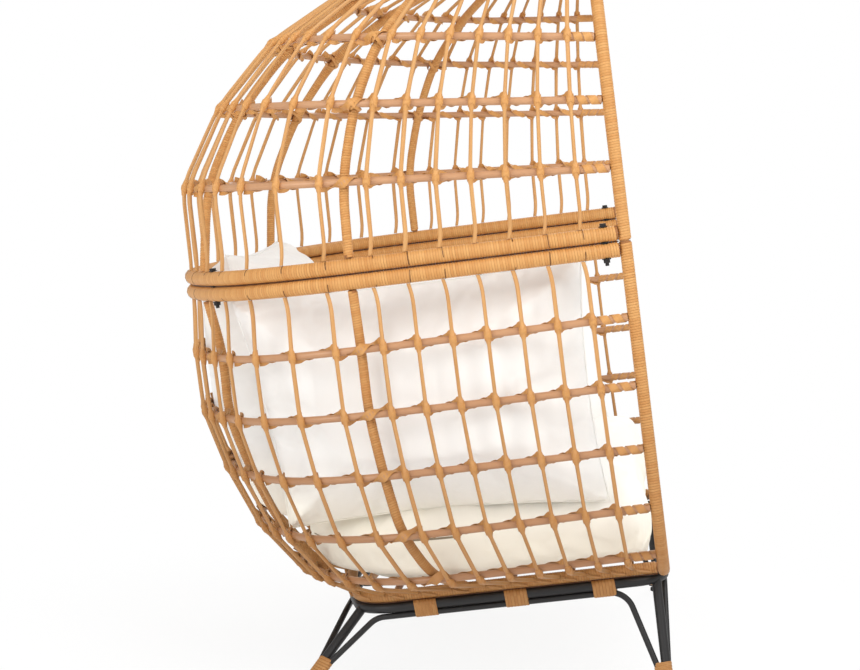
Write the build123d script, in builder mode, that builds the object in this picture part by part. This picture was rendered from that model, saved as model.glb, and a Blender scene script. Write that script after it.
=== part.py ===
"""Nest chair: a wicker dome bolted on a wicker bowl, on a splayed steel base.

Millimetres.  X runs across, the opening faces -Y, Z is up, the floor is Z = 0.
The nest has its own leaning frame: x across, v to the back, u up the front rim.
"""
import os
from math import atan2, cos, degrees, hypot, radians, sin, sqrt, tan

from build123d import *

# Stance of the nest
LEAN = 7.2
WAIST_HEIGHT = 751.0
BODY_Y = -346.96

# The cushions that the nest is built around, and the room it leaves beside and behind them
SEAT_PAD_HALF_WIDTH = 436.0
SIDE_PILLOW_LENGTH = 540.0
SIDE_ROOM = 78.0
REAR_ROOM = 237.0

# Front rim, measured from the waist joint
RIM_HALF_WIDTH = SEAT_PAD_HALF_WIDTH + SIDE_ROOM
RIM_TOP = 545.0
RIM_TOP_CORNER = 240.0
RIM_TOP_ARC = 850.0
RIM_BOTTOM = 548.0
RIM_BOTTOM_CORNER = 150.0

# Plan form shared by every hoop
BULGE = 1.03
CORNER_SHARE = 0.50
REAR_SHARE = 1.45

# Hoop levels: height at the front rim, height at the back, depth
WAIST_DEPTH = SIDE_PILLOW_LENGTH + REAR_ROOM
CROWN_DEPTH = 272.0
DOME_RUN = WAIST_DEPTH - CROWN_DEPTH
DOME_LEVELS = [
    (113.0, 167.0, CROWN_DEPTH + DOME_RUN * 0.966),
    (218.0, 294.0, CROWN_DEPTH + DOME_RUN * 0.812),
    (315.0, 392.0, CROWN_DEPTH + DOME_RUN * 0.606),
    (406.0, 457.0, CROWN_DEPTH + DOME_RUN * 0.355),
    (485.0, 508.0, CROWN_DEPTH),
]
BOWL_LEVELS = [
    (-119.0, -120.0, WAIST_DEPTH + 1.0),
    (-226.0, -221.0, WAIST_DEPTH),
    (-326.0, -320.0, WAIST_DEPTH - 26.0),
    (-420.0, -423.0, WAIST_DEPTH - 69.0),
    (-503.0, -504.0, WAIST_DEPTH - 128.0),
]

# Frame members
WRAP = 1.5
RIM_TUBE = 17.0
RING_TUBE = 21.0
RIB_TUBE = 13.0
HOOP = 12.0
STRAND = 6.5
WAIST_GAP = 1.6
FIT = 0.3

# Uprights, as shares of the half length of a hoop line from rim to back centre
SIDE_RIB_AT = 0.380
BACK_RIB_AT = 0.700
FIRST_STRAND_AT = 0.057
FRONT_BAY_STRANDS = 7
SIDE_BAY_STRANDS = 5
BACK_BAY_STRANDS = 8
CROWN_HALF_WIDTH = 310.0
CROWN_ANGLE = 50.0
RIB_EASE = 0.42
STRAND_EASE = 0.22

# Seat ring at the bottom of the bowl
SEAT_HALF_WIDTH = SEAT_PAD_HALF_WIDTH - 81.0
SEAT_DEPTH = 557.0
SEAT_BACK_DROP = 2.0
SEAT_CORNER = 70.0
SEAT_REAR_ARC = 1200.0
SEAT_BARS = 5
SEAT_BAR = 12.0

# Base
BASE_RING = 17.0
BASE_FRONT = 1.0
BASE_FRONT_CORNER = 45.0
LEG = 16.0
BRACE = 10.0
BRACE_BEND = 38.0
BRACE_FRONT_INSET = 20.0
BRACE_REAR_INSET = 30.0
BRACE_SIDE_START = 20.0
BRACE_SIDE_END = 34.0
REAR_LEG_TURN = 0.75
FOOT_X = SEAT_HALF_WIDTH + 45.0
FOOT_FRONT = -79.0
FOOT_REAR = SEAT_DEPTH - 42.0
FOOT_WRAP = 46.0
GLIDE_RADIUS = 15.0
GLIDE_HEIGHT = 7.0
BAND_WIDTH = 43.0
SIDE_BANDS = (101.0, 247.0, 399.0)
CROSS_BANDS = (-150.0, 150.0)

# Fasteners
BOLT = 6.0
BOLT_FIT = 0.3
BOLT_HEAD = 10.0
HEAD_HEIGHT = 4.0
NUT_HEIGHT = 5.0
WASHER_RADIUS = 7.0
WASHER = 1.2
BOLT_END = 5.0
FRONT_BOLT_AT = 0.028
BACK_BOLT_AT = 0.647
TAB_LENGTH = 40.0
TAB_WIDTH = 30.0
TAB = 3.0
TABS_AT = (165.0, 315.0)

# Cushions
SEAT_PAD_FRONT = 12.0
SEAT_PAD_FRONT_DRAW = 0.35
SEAT_PAD_BACK = SIDE_PILLOW_LENGTH + 80.0
SEAT_PAD_FRONT_CORNER = 84.0
SEAT_PAD_REAR_CORNER = 300.0
SEAT_PAD_DRAW = 6.0
SEAT_PAD_LAYERS = ((0.0, 92.0), (24.0, 47.0), (66.0, 2.0), (108.0, 4.0), (134.0, 34.0), (145.0, 100.0))
PILLOW_DRAW = 13.0
PILLOW_LAYERS = ((0.0, 0.0), (0.37, 16.0), (0.74, 52.0), (1.0, 110.0))
SIDE_PILLOW_HEIGHT = 395.0
SIDE_PILLOW_SWELL = 72.0
SIDE_PILLOW_FLARE = 52.0
SIDE_PILLOW_X = SEAT_PAD_HALF_WIDTH - 38.0
SIDE_PILLOW_V = SIDE_PILLOW_LENGTH / 2 + 70.0
SIDE_PILLOW_U = -218.7
SIDE_PILLOW_YAW = 7.5
BACK_PILLOW_LENGTH = 520.0
BACK_PILLOW_HEIGHT = 472.0
BACK_PILLOW_SWELL = 84.0
BACK_PILLOW_V = SIDE_PILLOW_LENGTH + 98.0
BACK_PILLOW_U = -187.5
BACK_PILLOW_RECLINE = 9.0

RIM_RADIUS = RIM_TUBE / 2 + WRAP
RING_RADIUS = RING_TUBE / 2 + WRAP
RIB_RADIUS = RIB_TUBE / 2 + WRAP
SEAT_RADIUS = RIM_RADIUS
RING_LEVEL = RING_RADIUS + WAIST_GAP / 2

BODY = Plane(
    origin=(0, BODY_Y, WAIST_HEIGHT),
    x_dir=(1, 0, 0),
    z_dir=(0, sin(radians(LEAN)), cos(radians(LEAN))),
)
RIM_PLANE = Plane(origin=BODY.origin, x_dir=(1, 0, 0), z_dir=BODY.y_dir * -1)
UP = BODY.z_dir
BACKWARD = BODY.y_dir


def rim_top_geometry():
    """Height where the rim sides start to turn, and the angle where the top arc takes over."""
    rise = sqrt((RIM_TOP_ARC - RIM_TOP_CORNER) ** 2 - (RIM_HALF_WIDTH - RIM_TOP_CORNER) ** 2)
    return RIM_TOP - RIM_TOP_ARC + rise, degrees(atan2(rise, RIM_HALF_WIDTH - RIM_TOP_CORNER))


def rim_half_width(height):
    """Half width of the front rim at a height above or below the waist joint."""
    shoulder, turn = rim_top_geometry()
    hip = RIM_BOTTOM_CORNER - RIM_BOTTOM
    if height > shoulder + RIM_TOP_CORNER * sin(radians(turn)):
        return sqrt(RIM_TOP_ARC ** 2 - (height - RIM_TOP + RIM_TOP_ARC) ** 2)
    if height > shoulder:
        inner = RIM_HALF_WIDTH - RIM_TOP_CORNER
        return inner + sqrt(RIM_TOP_CORNER ** 2 - (height - shoulder) ** 2)
    if height < hip:
        inner = RIM_HALF_WIDTH - RIM_BOTTOM_CORNER
        return inner + sqrt(RIM_BOTTOM_CORNER ** 2 - (height - hip) ** 2)
    return RIM_HALF_WIDTH


def level_plane(front, back, depth):
    """Plane of a hoop that lies at one height on the rim and another at the back."""
    return BODY.offset(front).rotated((degrees(atan2(back - front, depth)), 0, 0))


def nest_curve(front, back, depth, start=0.0):
    """Hoop line from the +X rim around the back to the -X rim."""
    narrow = rim_half_width(front)
    wide = narrow * BULGE
    run = hypot(depth, back - front)
    corner = wide * CORNER_SHARE
    rear = wide * REAR_SHARE
    rise = sqrt((rear - corner) ** 2 - (wide - corner) ** 2)
    straight = run - rear + rise
    turn = degrees(atan2(rise, wide - corner))
    side = (straight ** 2 + (wide - narrow) ** 2) / (2 * (wide - narrow))
    middle = (start + straight) / 2
    edge_x = wide - side + sqrt(side ** 2 - (straight - start) ** 2)
    middle_x = wide - side + sqrt(side ** 2 - (straight - middle) ** 2)
    with BuildLine(level_plane(front, back, depth)) as curve:
        ThreePointArc((edge_x, start), (middle_x, middle), (wide, straight))
        CenterArc((wide - corner, straight), corner, 0, turn)
        CenterArc((0, run - rear), rear, turn, 180 - 2 * turn)
        CenterArc((corner - wide, straight), corner, 180 - turn, turn)
        ThreePointArc((-wide, straight), (-middle_x, middle), (-edge_x, start))
    return curve.wire()


def smooth_path(points, ease):
    """Straight runs joined by arcs whose middles pass through the given points."""
    kept = [points[0]]
    for here, after in zip(points[1:], points[2:]):
        if (here - kept[-1]).get_angle(after - here) > 0.25:
            kept.append(here)
    kept.append(points[-1])
    corners = list(kept)
    for attempt in range(6):
        radii = []
        moved = [kept[0]]
        for before, here, after, goal in zip(corners, corners[1:], corners[2:], kept[1:]):
            turn = radians((here - before).get_angle(after - here))
            reach = ease * min((here - before).length, (after - here).length)
            radii.append(reach / tan(turn / 2))
            inward = (before - here).normalized() + (after - here).normalized()
            sag = radii[-1] * (1 / cos(turn / 2) - 1)
            moved.append(goal - inward.normalized() * sag)
        path_corners = corners
        corners = moved + [kept[-1]]
    with BuildLine() as line:
        FilletPolyline(*path_corners, radius=radii)
    return line.wire()


def rod(path, radius, bore=0.0, seam=None):
    """Round bar along a path, or a sleeve when it has a bore; its seam may be turned to one side."""
    with BuildPart() as bar:
        with BuildSketch(Plane(path @ 0, x_dir=seam, z_dir=path % 0)):
            Circle(radius)
            if bore > 0:
                Circle(bore, mode=Mode.SUBTRACT)
        sweep(path=path)
    return bar.part


def save(name, part):
    """Label one node and write its file."""
    part.label = name
    export_step(part, f"parts/{name}.step")


def save_group(name, pieces):
    """Several separate solids in one node."""
    save(name, Compound(children=list(pieces)))


def line_path(first, last):
    """Straight path between two points."""
    with BuildLine() as line:
        Line(first, last)
    return line.wire()


os.makedirs("parts", exist_ok=True)

# Front rim: an arch on the dome and a U on the bowl, parted at the waist joint
shoulder_height, top_turn = rim_top_geometry()
with BuildLine(RIM_PLANE) as arch_line:
    Line((RIM_HALF_WIDTH, WAIST_GAP / 2), (RIM_HALF_WIDTH, shoulder_height))
    CenterArc((RIM_HALF_WIDTH - RIM_TOP_CORNER, shoulder_height), RIM_TOP_CORNER, 0, top_turn)
    CenterArc((0, RIM_TOP - RIM_TOP_ARC), RIM_TOP_ARC, top_turn, 180 - 2 * top_turn)
    CenterArc((RIM_TOP_CORNER - RIM_HALF_WIDTH, shoulder_height), RIM_TOP_CORNER, 180 - top_turn, top_turn)
    Line((-RIM_HALF_WIDTH, shoulder_height), (-RIM_HALF_WIDTH, WAIST_GAP / 2))
arch_path = arch_line.wire()

with BuildLine(RIM_PLANE) as sill_line:
    FilletPolyline(
        (RIM_HALF_WIDTH, -WAIST_GAP / 2),
        (RIM_HALF_WIDTH, -RIM_BOTTOM),
        (-RIM_HALF_WIDTH, -RIM_BOTTOM),
        (-RIM_HALF_WIDTH, -WAIST_GAP / 2),
        radius=RIM_BOTTOM_CORNER,
    )
sill_path = sill_line.wire()

save("dome_arch_tube", rod(arch_path, RIM_TUBE / 2))
save("dome_arch_wrap", rod(arch_path, RIM_RADIUS, RIM_TUBE / 2 + FIT / 6))
save("bowl_rim_tube", rod(sill_path, RIM_TUBE / 2))
save("bowl_rim_wrap", rod(sill_path, RIM_RADIUS, RIM_TUBE / 2 + FIT / 6))

# Waist rings, drilled for the bolts that join the two shells
butt = RIM_RADIUS + FIT
dome_ring_path = nest_curve(RING_LEVEL, RING_LEVEL, WAIST_DEPTH, butt)
bowl_ring_path = nest_curve(-RING_LEVEL, -RING_LEVEL, WAIST_DEPTH, butt)
waist_line = nest_curve(0, 0, WAIST_DEPTH)
bolt_shares = [FRONT_BOLT_AT / 2, BACK_BOLT_AT / 2, 1 - BACK_BOLT_AT / 2, 1 - FRONT_BOLT_AT / 2]
bolt_planes = [Plane(waist_line @ share, x_dir=(1, 0, 0), z_dir=UP) for share in bolt_shares]


def drilled(part, planes, radius, length):
    """A part with a round hole through it at each plane."""
    with BuildPart() as piece:
        add(part)
        for plane in planes:
            with Locations(plane):
                Cylinder(radius, length, mode=Mode.SUBTRACT)
    return piece.part


hole = BOLT / 2 + BOLT_FIT
ring_depth = 6 * RING_RADIUS
for name, path in (("dome_ring", dome_ring_path), ("bowl_ring", bowl_ring_path)):
    tube = rod(path, RING_TUBE / 2, seam=(1, 0, 0))
    sleeve = rod(path, RING_RADIUS, RING_TUBE / 2 + FIT / 6, seam=(1, 0, 0))
    save(name + "_tube", drilled(tube, bolt_planes, hole, ring_depth))
    save(name + "_wrap", drilled(sleeve, bolt_planes, hole, ring_depth))


def hoop_start(front, back, depth):
    """Where a slanting hoop ends so that its cut face just meets the rim."""
    slant = abs(atan2(back - front, depth))
    return (butt + HOOP / 2 * sin(slant)) / cos(slant)


# Hoops
for number, level in enumerate(DOME_LEVELS, 1):
    save(f"dome_hoop_{number}", rod(nest_curve(*level, hoop_start(*level)), HOOP / 2))
for number, level in enumerate(BOWL_LEVELS, 1):
    save(f"bowl_hoop_{number}", rod(nest_curve(*level, hoop_start(*level)), HOOP / 2))

# Seat ring and the bars across it
seat_plane = level_plane(-RIM_BOTTOM, -RIM_BOTTOM - SEAT_BACK_DROP, SEAT_DEPTH)
seat_rise = sqrt((SEAT_REAR_ARC - SEAT_CORNER) ** 2 - (SEAT_HALF_WIDTH - SEAT_CORNER) ** 2)
seat_straight = SEAT_DEPTH - SEAT_REAR_ARC + seat_rise
seat_turn = degrees(atan2(seat_rise, SEAT_HALF_WIDTH - SEAT_CORNER))


def seat_curve(plane, start):
    """Line of the seat ring from the +X front end around the back to the -X front end."""
    inner = SEAT_HALF_WIDTH - SEAT_CORNER
    with BuildLine(plane) as curve:
        Line((SEAT_HALF_WIDTH, start), (SEAT_HALF_WIDTH, seat_straight))
        CenterArc((inner, seat_straight), SEAT_CORNER, 0, seat_turn)
        CenterArc((0, SEAT_DEPTH - SEAT_REAR_ARC), SEAT_REAR_ARC, seat_turn, 180 - 2 * seat_turn)
        CenterArc((-inner, seat_straight), SEAT_CORNER, 180 - seat_turn, seat_turn)
        Line((-SEAT_HALF_WIDTH, seat_straight), (-SEAT_HALF_WIDTH, start))
    return curve.wire()


seat_path = seat_curve(seat_plane, butt)
save("seat_ring_tube", rod(seat_path, RIM_TUBE / 2))
save("seat_ring_wrap", rod(seat_path, SEAT_RADIUS, RIM_TUBE / 2 + FIT / 6))

bar_end = SEAT_HALF_WIDTH - SEAT_RADIUS - FIT
bar_level = SEAT_RADIUS - SEAT_BAR / 2
seat_bars = []
for number in range(SEAT_BARS):
    along = seat_straight * (number + 0.55) / (SEAT_BARS - 0.4)
    ends = [seat_plane.from_local_coords((side * bar_end, along, bar_level)) for side in (-1, 1)]
    seat_bars.append(rod(line_path(*ends), SEAT_BAR / 2))
save_group("seat_bars", seat_bars)

# Ribs inside the hoops and strands outside them, at the same shares of every hoop line
crown_angle = degrees(atan2(sqrt(RIM_TOP_ARC ** 2 - CROWN_HALF_WIDTH ** 2), CROWN_HALF_WIDTH))
with BuildLine(RIM_PLANE) as crown_line:
    CenterArc((0, RIM_TOP - RIM_TOP_ARC), RIM_TOP_ARC, crown_angle, 180 - 2 * crown_angle)
dome_lines = [nest_curve(RING_LEVEL, RING_LEVEL, WAIST_DEPTH)]
dome_lines += [nest_curve(*level) for level in DOME_LEVELS]
dome_lines.append(crown_line.wire())
bowl_lines = [seat_curve(seat_plane, 0)]
bowl_lines += [nest_curve(*level) for level in reversed(BOWL_LEVELS)]
bowl_lines.append(nest_curve(-RING_LEVEL, -RING_LEVEL, WAIST_DEPTH))


def crossings(lines, share, offset):
    """Points beside each hoop, an offset out along the shell's normal."""
    points = []
    for below, here, above in zip(lines, lines[1:], lines[2:]):
        along = here % share
        rising = (above @ share) - (below @ share)
        points.append((here @ share) + along.cross(rising).normalized() * offset)
    return points


def butt_end(line, share, towards, reach, radius):
    """End of a rod of some radius that meets a tube of radius reach on its way to the tube's line."""
    centre = line @ share
    heading = (towards - centre).normalized()
    slant = abs(heading.dot(line % share))
    square = sqrt(1 - slant ** 2)
    return centre + heading * ((reach + FIT + radius * slant) / square)


def dome_upright(share, radius, side):
    """Path of a dome rib (side -1, inside) or strand (side 1, outside)."""
    points = crossings(dome_lines, share, side * (HOOP / 2 + radius + FIT))
    foot = butt_end(dome_lines[0], share, points[0], RING_RADIUS, radius)
    crown = BACKWARD * cos(radians(CROWN_ANGLE)) + UP * (side * sin(radians(CROWN_ANGLE)))
    head = (dome_lines[-1] @ share) + crown * (RIM_RADIUS + radius + FIT)
    return [foot] + points + [head]


def bowl_upright(share, radius, side):
    """Path of a bowl rib or strand, from the seat ring to the waist ring."""
    points = crossings(bowl_lines, share, side * (HOOP / 2 + radius + FIT))
    foot = butt_end(bowl_lines[0], share, points[0], SEAT_RADIUS, radius)
    head = butt_end(bowl_lines[-1], share, points[-1], RING_RADIUS, radius)
    return [foot] + points + [head]


def strand_shares():
    """Shares of the strands on the +X side, then of those across the back."""
    front_pitch = (SIDE_RIB_AT - FIRST_STRAND_AT) / (FRONT_BAY_STRANDS - 0.3)
    side_pitch = (BACK_RIB_AT - SIDE_RIB_AT) / SIDE_BAY_STRANDS
    back_pitch = (2 - 2 * BACK_RIB_AT) / BACK_BAY_STRANDS
    side = [FIRST_STRAND_AT + front_pitch * number for number in range(FRONT_BAY_STRANDS)]
    side += [SIDE_RIB_AT + side_pitch * (number + 0.5) for number in range(SIDE_BAY_STRANDS)]
    back = [BACK_RIB_AT + back_pitch * (number + 0.5) for number in range(BACK_BAY_STRANDS)]
    return [share / 2 for share in side], [share / 2 for share in back]


side_shares, back_shares = strand_shares()
bays = {
    "left": side_shares,
    "right": [1 - share for share in side_shares],
    "back": back_shares,
}
for shell, upright in (("dome", dome_upright), ("bowl", bowl_upright)):
    wraps = []
    for pair, share in (("side", SIDE_RIB_AT / 2), ("back", BACK_RIB_AT / 2)):
        ribs = []
        for position in (share, 1 - share):
            path = smooth_path(upright(position, RIB_RADIUS, -1), RIB_EASE)
            ribs.append(rod(path, RIB_TUBE / 2))
            wraps.append(rod(path, RIB_RADIUS, RIB_TUBE / 2 + FIT / 6))
        save_group(f"{shell}_{pair}_ribs", ribs)
    save_group(f"{shell}_rib_wraps", wraps)
    for bay, shares in bays.items():
        strands = []
        for share in shares:
            path = smooth_path(upright(share, STRAND / 2, 1), STRAND_EASE)
            strands.append(rod(path, STRAND / 2))
        save_group(f"{shell}_strands_{bay}", strands)

# Waist bolts, washers, spacers and nuts
bolt_reach = 2 * RING_RADIUS + WAIST_GAP / 2
bolts = []
washers = []
nuts = []
for plane in bolt_planes:
    with BuildPart() as bolt:
        with BuildSketch(plane.offset(bolt_reach + WASHER + 0.2)):
            RegularPolygon(BOLT_HEAD / 2, 6, major_radius=False)
        extrude(amount=HEAD_HEIGHT)
        with BuildSketch(plane.offset(bolt_reach + WASHER + 0.2)):
            Circle(BOLT / 2)
        extrude(amount=-(2 * bolt_reach + 2 * WASHER + NUT_HEIGHT + BOLT_END))
    bolts.append(bolt.part)
    seats = (
        (bolt_reach + 0.1, WASHER),
        (-bolt_reach - 0.1 - WASHER, WASHER),
        (0.1 - WAIST_GAP / 2, WAIST_GAP - 0.2),
    )
    for level, thickness in seats:
        with BuildPart() as washer:
            with BuildSketch(plane.offset(level)):
                Circle(WASHER_RADIUS)
                Circle(hole, mode=Mode.SUBTRACT)
            extrude(amount=thickness)
        washers.append(washer.part)
    with BuildPart() as nut:
        with BuildSketch(plane.offset(-bolt_reach - 0.2 - WASHER)):
            RegularPolygon(BOLT_HEAD / 2, 6, major_radius=False)
            Circle(BOLT / 2 + 0.1, mode=Mode.SUBTRACT)
        extrude(amount=-NUT_HEIGHT)
    nuts.append(nut.part)
save_group("waist_bolts", bolts)
save_group("waist_washers", washers)
save_group("waist_nuts", nuts)

# Base ring under the seat ring
base_drop = SEAT_RADIUS + BASE_RING / 2 + WRAP + FIT
base_plane = seat_plane.offset(-base_drop)
front_inner = SEAT_HALF_WIDTH - BASE_FRONT_CORNER
front_corner_v = BASE_FRONT + BASE_FRONT_CORNER
with BuildLine(base_plane) as base_line:
    Line((-front_inner, BASE_FRONT), (front_inner, BASE_FRONT))
    CenterArc((front_inner, front_corner_v), BASE_FRONT_CORNER, -90, 90)
    Line((SEAT_HALF_WIDTH, front_corner_v), (SEAT_HALF_WIDTH, seat_straight))
    CenterArc((SEAT_HALF_WIDTH - SEAT_CORNER, seat_straight), SEAT_CORNER, 0, seat_turn)
    CenterArc((0, SEAT_DEPTH - SEAT_REAR_ARC), SEAT_REAR_ARC, seat_turn, 180 - 2 * seat_turn)
    CenterArc((SEAT_CORNER - SEAT_HALF_WIDTH, seat_straight), SEAT_CORNER, 180 - seat_turn, seat_turn)
    Line((-SEAT_HALF_WIDTH, seat_straight), (-SEAT_HALF_WIDTH, front_corner_v))
    CenterArc((-front_inner, front_corner_v), BASE_FRONT_CORNER, 180, 90)
base_ring = rod(base_line.wire(), BASE_RING / 2)
base_ring_room = rod(base_line.wire(), BASE_RING / 2 + FIT / 2)
save("base_ring", base_ring)

# Legs from the corners of the ring, coped to fit it, down to the feet
brace_drop = BASE_RING / 2 + BRACE / 2 + FIT
brace_plane = base_plane.offset(-brace_drop)
front_tip = BASE_FRONT_CORNER * sin(radians(45))
rear_tip_x = SEAT_HALF_WIDTH - SEAT_CORNER + SEAT_CORNER * cos(radians(seat_turn * REAR_LEG_TURN))
rear_tip_v = seat_straight + SEAT_CORNER * sin(radians(seat_turn * REAR_LEG_TURN))


class Foot:
    """One leg: its place on the ring, its axis, and the directions of its two braces."""

    def __init__(self, side, front):
        tip = (front_inner + front_tip, front_corner_v - front_tip) if front else (rear_tip_x, rear_tip_v)
        top = base_plane.from_local_coords((side * tip[0], tip[1], 0))
        ground = Vector(side * FOOT_X, BODY_Y + (FOOT_FRONT if front else FOOT_REAR), 0)
        rough = (top - ground).normalized()
        lift = GLIDE_HEIGHT + FIT + LEG / 2 * sqrt(1 - rough.Z ** 2)
        self.ground = ground
        self.end = Vector(ground.X, ground.Y, lift)
        self.axis = (top - self.end).normalized()
        self.top = top

    def beside(self, target, distance):
        """A line next to the leg, on the side that faces a target point."""
        towards = target - self.end
        across = (towards - self.axis * towards.dot(self.axis)).normalized()
        start = self.end + across * (LEG / 2 + BRACE / 2 + FIT) + self.axis * 2
        return [start, start + self.axis * distance]


feet = {
    "front_left": Foot(1, True),
    "front_right": Foot(-1, True),
    "rear_left": Foot(1, False),
    "rear_right": Foot(-1, False),
}
legs = {}
for name, foot in feet.items():
    with BuildPart() as leg:
        add(rod(line_path(foot.end, foot.top), LEG / 2))
        add(base_ring_room, mode=Mode.SUBTRACT)
    legs[name] = leg.part
    save(f"leg_{name}", legs[name])

# Braces: a run under one side of the ring, bent down to the feet at both ends
front_run_x = front_inner - BRACE_FRONT_INSET
rear_run_x = SEAT_HALF_WIDTH - SEAT_CORNER - BRACE_REAR_INSET
rear_run_v = SEAT_DEPTH - SEAT_REAR_ARC + sqrt(SEAT_REAR_ARC ** 2 - (rear_run_x * 0.6) ** 2)
side_run_x = SEAT_HALF_WIDTH
side_start_v = front_corner_v + BRACE_SIDE_START
side_end_v = seat_straight + BRACE_SIDE_END
brace_runs = {
    "left": ("front_left", "rear_left", (side_run_x, side_start_v), (side_run_x, side_end_v)),
    "right": ("front_right", "rear_right", (-side_run_x, side_start_v), (-side_run_x, side_end_v)),
    "front": ("front_left", "front_right", (front_run_x, BASE_FRONT), (-front_run_x, BASE_FRONT)),
    "rear": ("rear_left", "rear_right", (rear_run_x, rear_run_v), (-rear_run_x, rear_run_v)),
}
braces = {}
foot_braces = {name: [] for name in feet}
for name, (first, last, start, finish) in brace_runs.items():
    bend_start = brace_plane.from_local_coords((*start, 0))
    bend_finish = brace_plane.from_local_coords((*finish, 0))
    down_first = feet[first].beside(bend_start, FOOT_WRAP - 10)
    down_last = feet[last].beside(bend_finish, FOOT_WRAP - 10)
    with BuildLine() as brace_line:
        FilletPolyline(
            *down_first,
            bend_start,
            bend_finish,
            *reversed(down_last),
            radius=[BRACE_BEND / 2, BRACE_BEND, BRACE_BEND, BRACE_BEND / 2],
        )
    braces[name] = rod(brace_line.wire(), BRACE / 2)
    save(f"brace_{name}", braces[name])
    foot_braces[first].append((name, down_first[0]))
    foot_braces[last].append((name, down_last[0]))

# Wicker winding around each foot, and the glide under it
foot_bindings = []
foot_glides = []
for name, foot in feet.items():
    wrap_plane = Plane(foot.end + foot.axis * 4, z_dir=foot.axis)
    with BuildPart() as binding:
        with BuildSketch(wrap_plane):
            with BuildLine():
                CenterArc((0, 0), LEG / 2 + WRAP, 0, 360)
                for brace_name, beside in foot_braces[name]:
                    local = wrap_plane.to_local_coords(beside)
                    CenterArc((local.X, local.Y), BRACE / 2 + WRAP, 0, 360)
            make_hull()
        extrude(amount=FOOT_WRAP)
        add(legs[name], mode=Mode.SUBTRACT)
        for brace_name, beside in foot_braces[name]:
            add(braces[brace_name], mode=Mode.SUBTRACT)
    foot_bindings.append(binding.part)
    with BuildPart() as glide:
        with BuildSketch(Plane(foot.ground)):
            Circle(GLIDE_RADIUS)
        extrude(amount=GLIDE_HEIGHT)
        chamfer(glide.edges().group_by(Axis.Z)[-1], GLIDE_HEIGHT * 0.3)
    foot_glides.append(glide.part)
save_group("foot_bindings", foot_bindings)
save_group("foot_glides", foot_glides)

# Wicker bands that tie each brace to the ring
bands = []


def band(plane, brace):
    """A short sleeve around ring and brace; the plane's normal runs along them."""
    with BuildPart() as sleeve:
        with BuildSketch(plane.offset(-BAND_WIDTH / 2)):
            with BuildLine():
                CenterArc((0, 0), BASE_RING / 2 + WRAP, 0, 360)
                CenterArc((0, -brace_drop), BRACE / 2 + WRAP, 0, 360)
            make_hull()
        extrude(amount=BAND_WIDTH)
        add(base_ring, mode=Mode.SUBTRACT)
        add(brace, mode=Mode.SUBTRACT)
    return sleeve.part


for name, side in (("left", 1), ("right", -1)):
    for along in SIDE_BANDS:
        centre = base_plane.from_local_coords((side * SEAT_HALF_WIDTH, along, 0))
        bands.append(band(Plane(centre, x_dir=(1, 0, 0), z_dir=base_plane.y_dir * -1), braces[name]))
for across in CROSS_BANDS:
    centre = base_plane.from_local_coords((across, BASE_FRONT, 0))
    bands.append(band(Plane(centre, x_dir=base_plane.y_dir, z_dir=(1, 0, 0)), braces["front"]))
save_group("base_bindings", bands)

# Plates on the seat ring and the base ring, bolted together under the cushion
tab_level = -SEAT_RADIUS - FIT / 2
seat_tabs = []
base_tabs = []
base_bolts = []
base_nuts = []
seat_sleeve = rod(seat_path, SEAT_RADIUS + 0.05)
for side in (1, -1):
    for along in TABS_AT:
        centre_x = side * (SEAT_HALF_WIDTH - TAB_LENGTH / 2)
        bolt_x = side * (SEAT_HALF_WIDTH - TAB_LENGTH + 12)
        for level, thickness, tabs, ring in (
            (tab_level + FIT / 6, TAB, seat_tabs, seat_sleeve),
            (tab_level - FIT / 6, -TAB, base_tabs, base_ring),
        ):
            with BuildPart() as tab:
                with BuildSketch(seat_plane.offset(level)):
                    with Locations((centre_x, along)):
                        Rectangle(TAB_LENGTH, TAB_WIDTH)
                    with Locations((bolt_x, along)):
                        Circle(hole, mode=Mode.SUBTRACT)
                extrude(amount=thickness)
                add(ring, mode=Mode.SUBTRACT)
            inner = min(tab.part.solids(), key=lambda solid: abs(solid.center().X))
            tabs.append(Part(inner.wrapped))
        with BuildPart() as bolt:
            with BuildSketch(seat_plane.offset(tab_level - TAB - FIT)):
                with Locations((bolt_x, along)):
                    RegularPolygon(BOLT_HEAD / 2, 6, major_radius=False)
            extrude(amount=-HEAD_HEIGHT)
            with BuildSketch(seat_plane.offset(tab_level - TAB - FIT)):
                with Locations((bolt_x, along)):
                    Circle(BOLT / 2)
            extrude(amount=2 * TAB + 2 * FIT + NUT_HEIGHT + 1)
        base_bolts.append(bolt.part)
        with BuildPart() as nut:
            with BuildSketch(seat_plane.offset(tab_level + TAB + FIT)):
                with Locations((bolt_x, along)):
                    RegularPolygon(BOLT_HEAD / 2, 6, major_radius=False)
                    Circle(BOLT / 2 + 0.1, mode=Mode.SUBTRACT)
            extrude(amount=NUT_HEIGHT)
        base_nuts.append(nut.part)
save_group("seat_tabs", seat_tabs)
save_group("base_tabs", base_tabs)
save_group("base_bolts", base_bolts)
save_group("base_nuts", base_nuts)

# Seat cushion: crowned layers, drawn in along the front and the sides
pad_plane = seat_plane.offset(SEAT_RADIUS + FIT)


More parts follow.
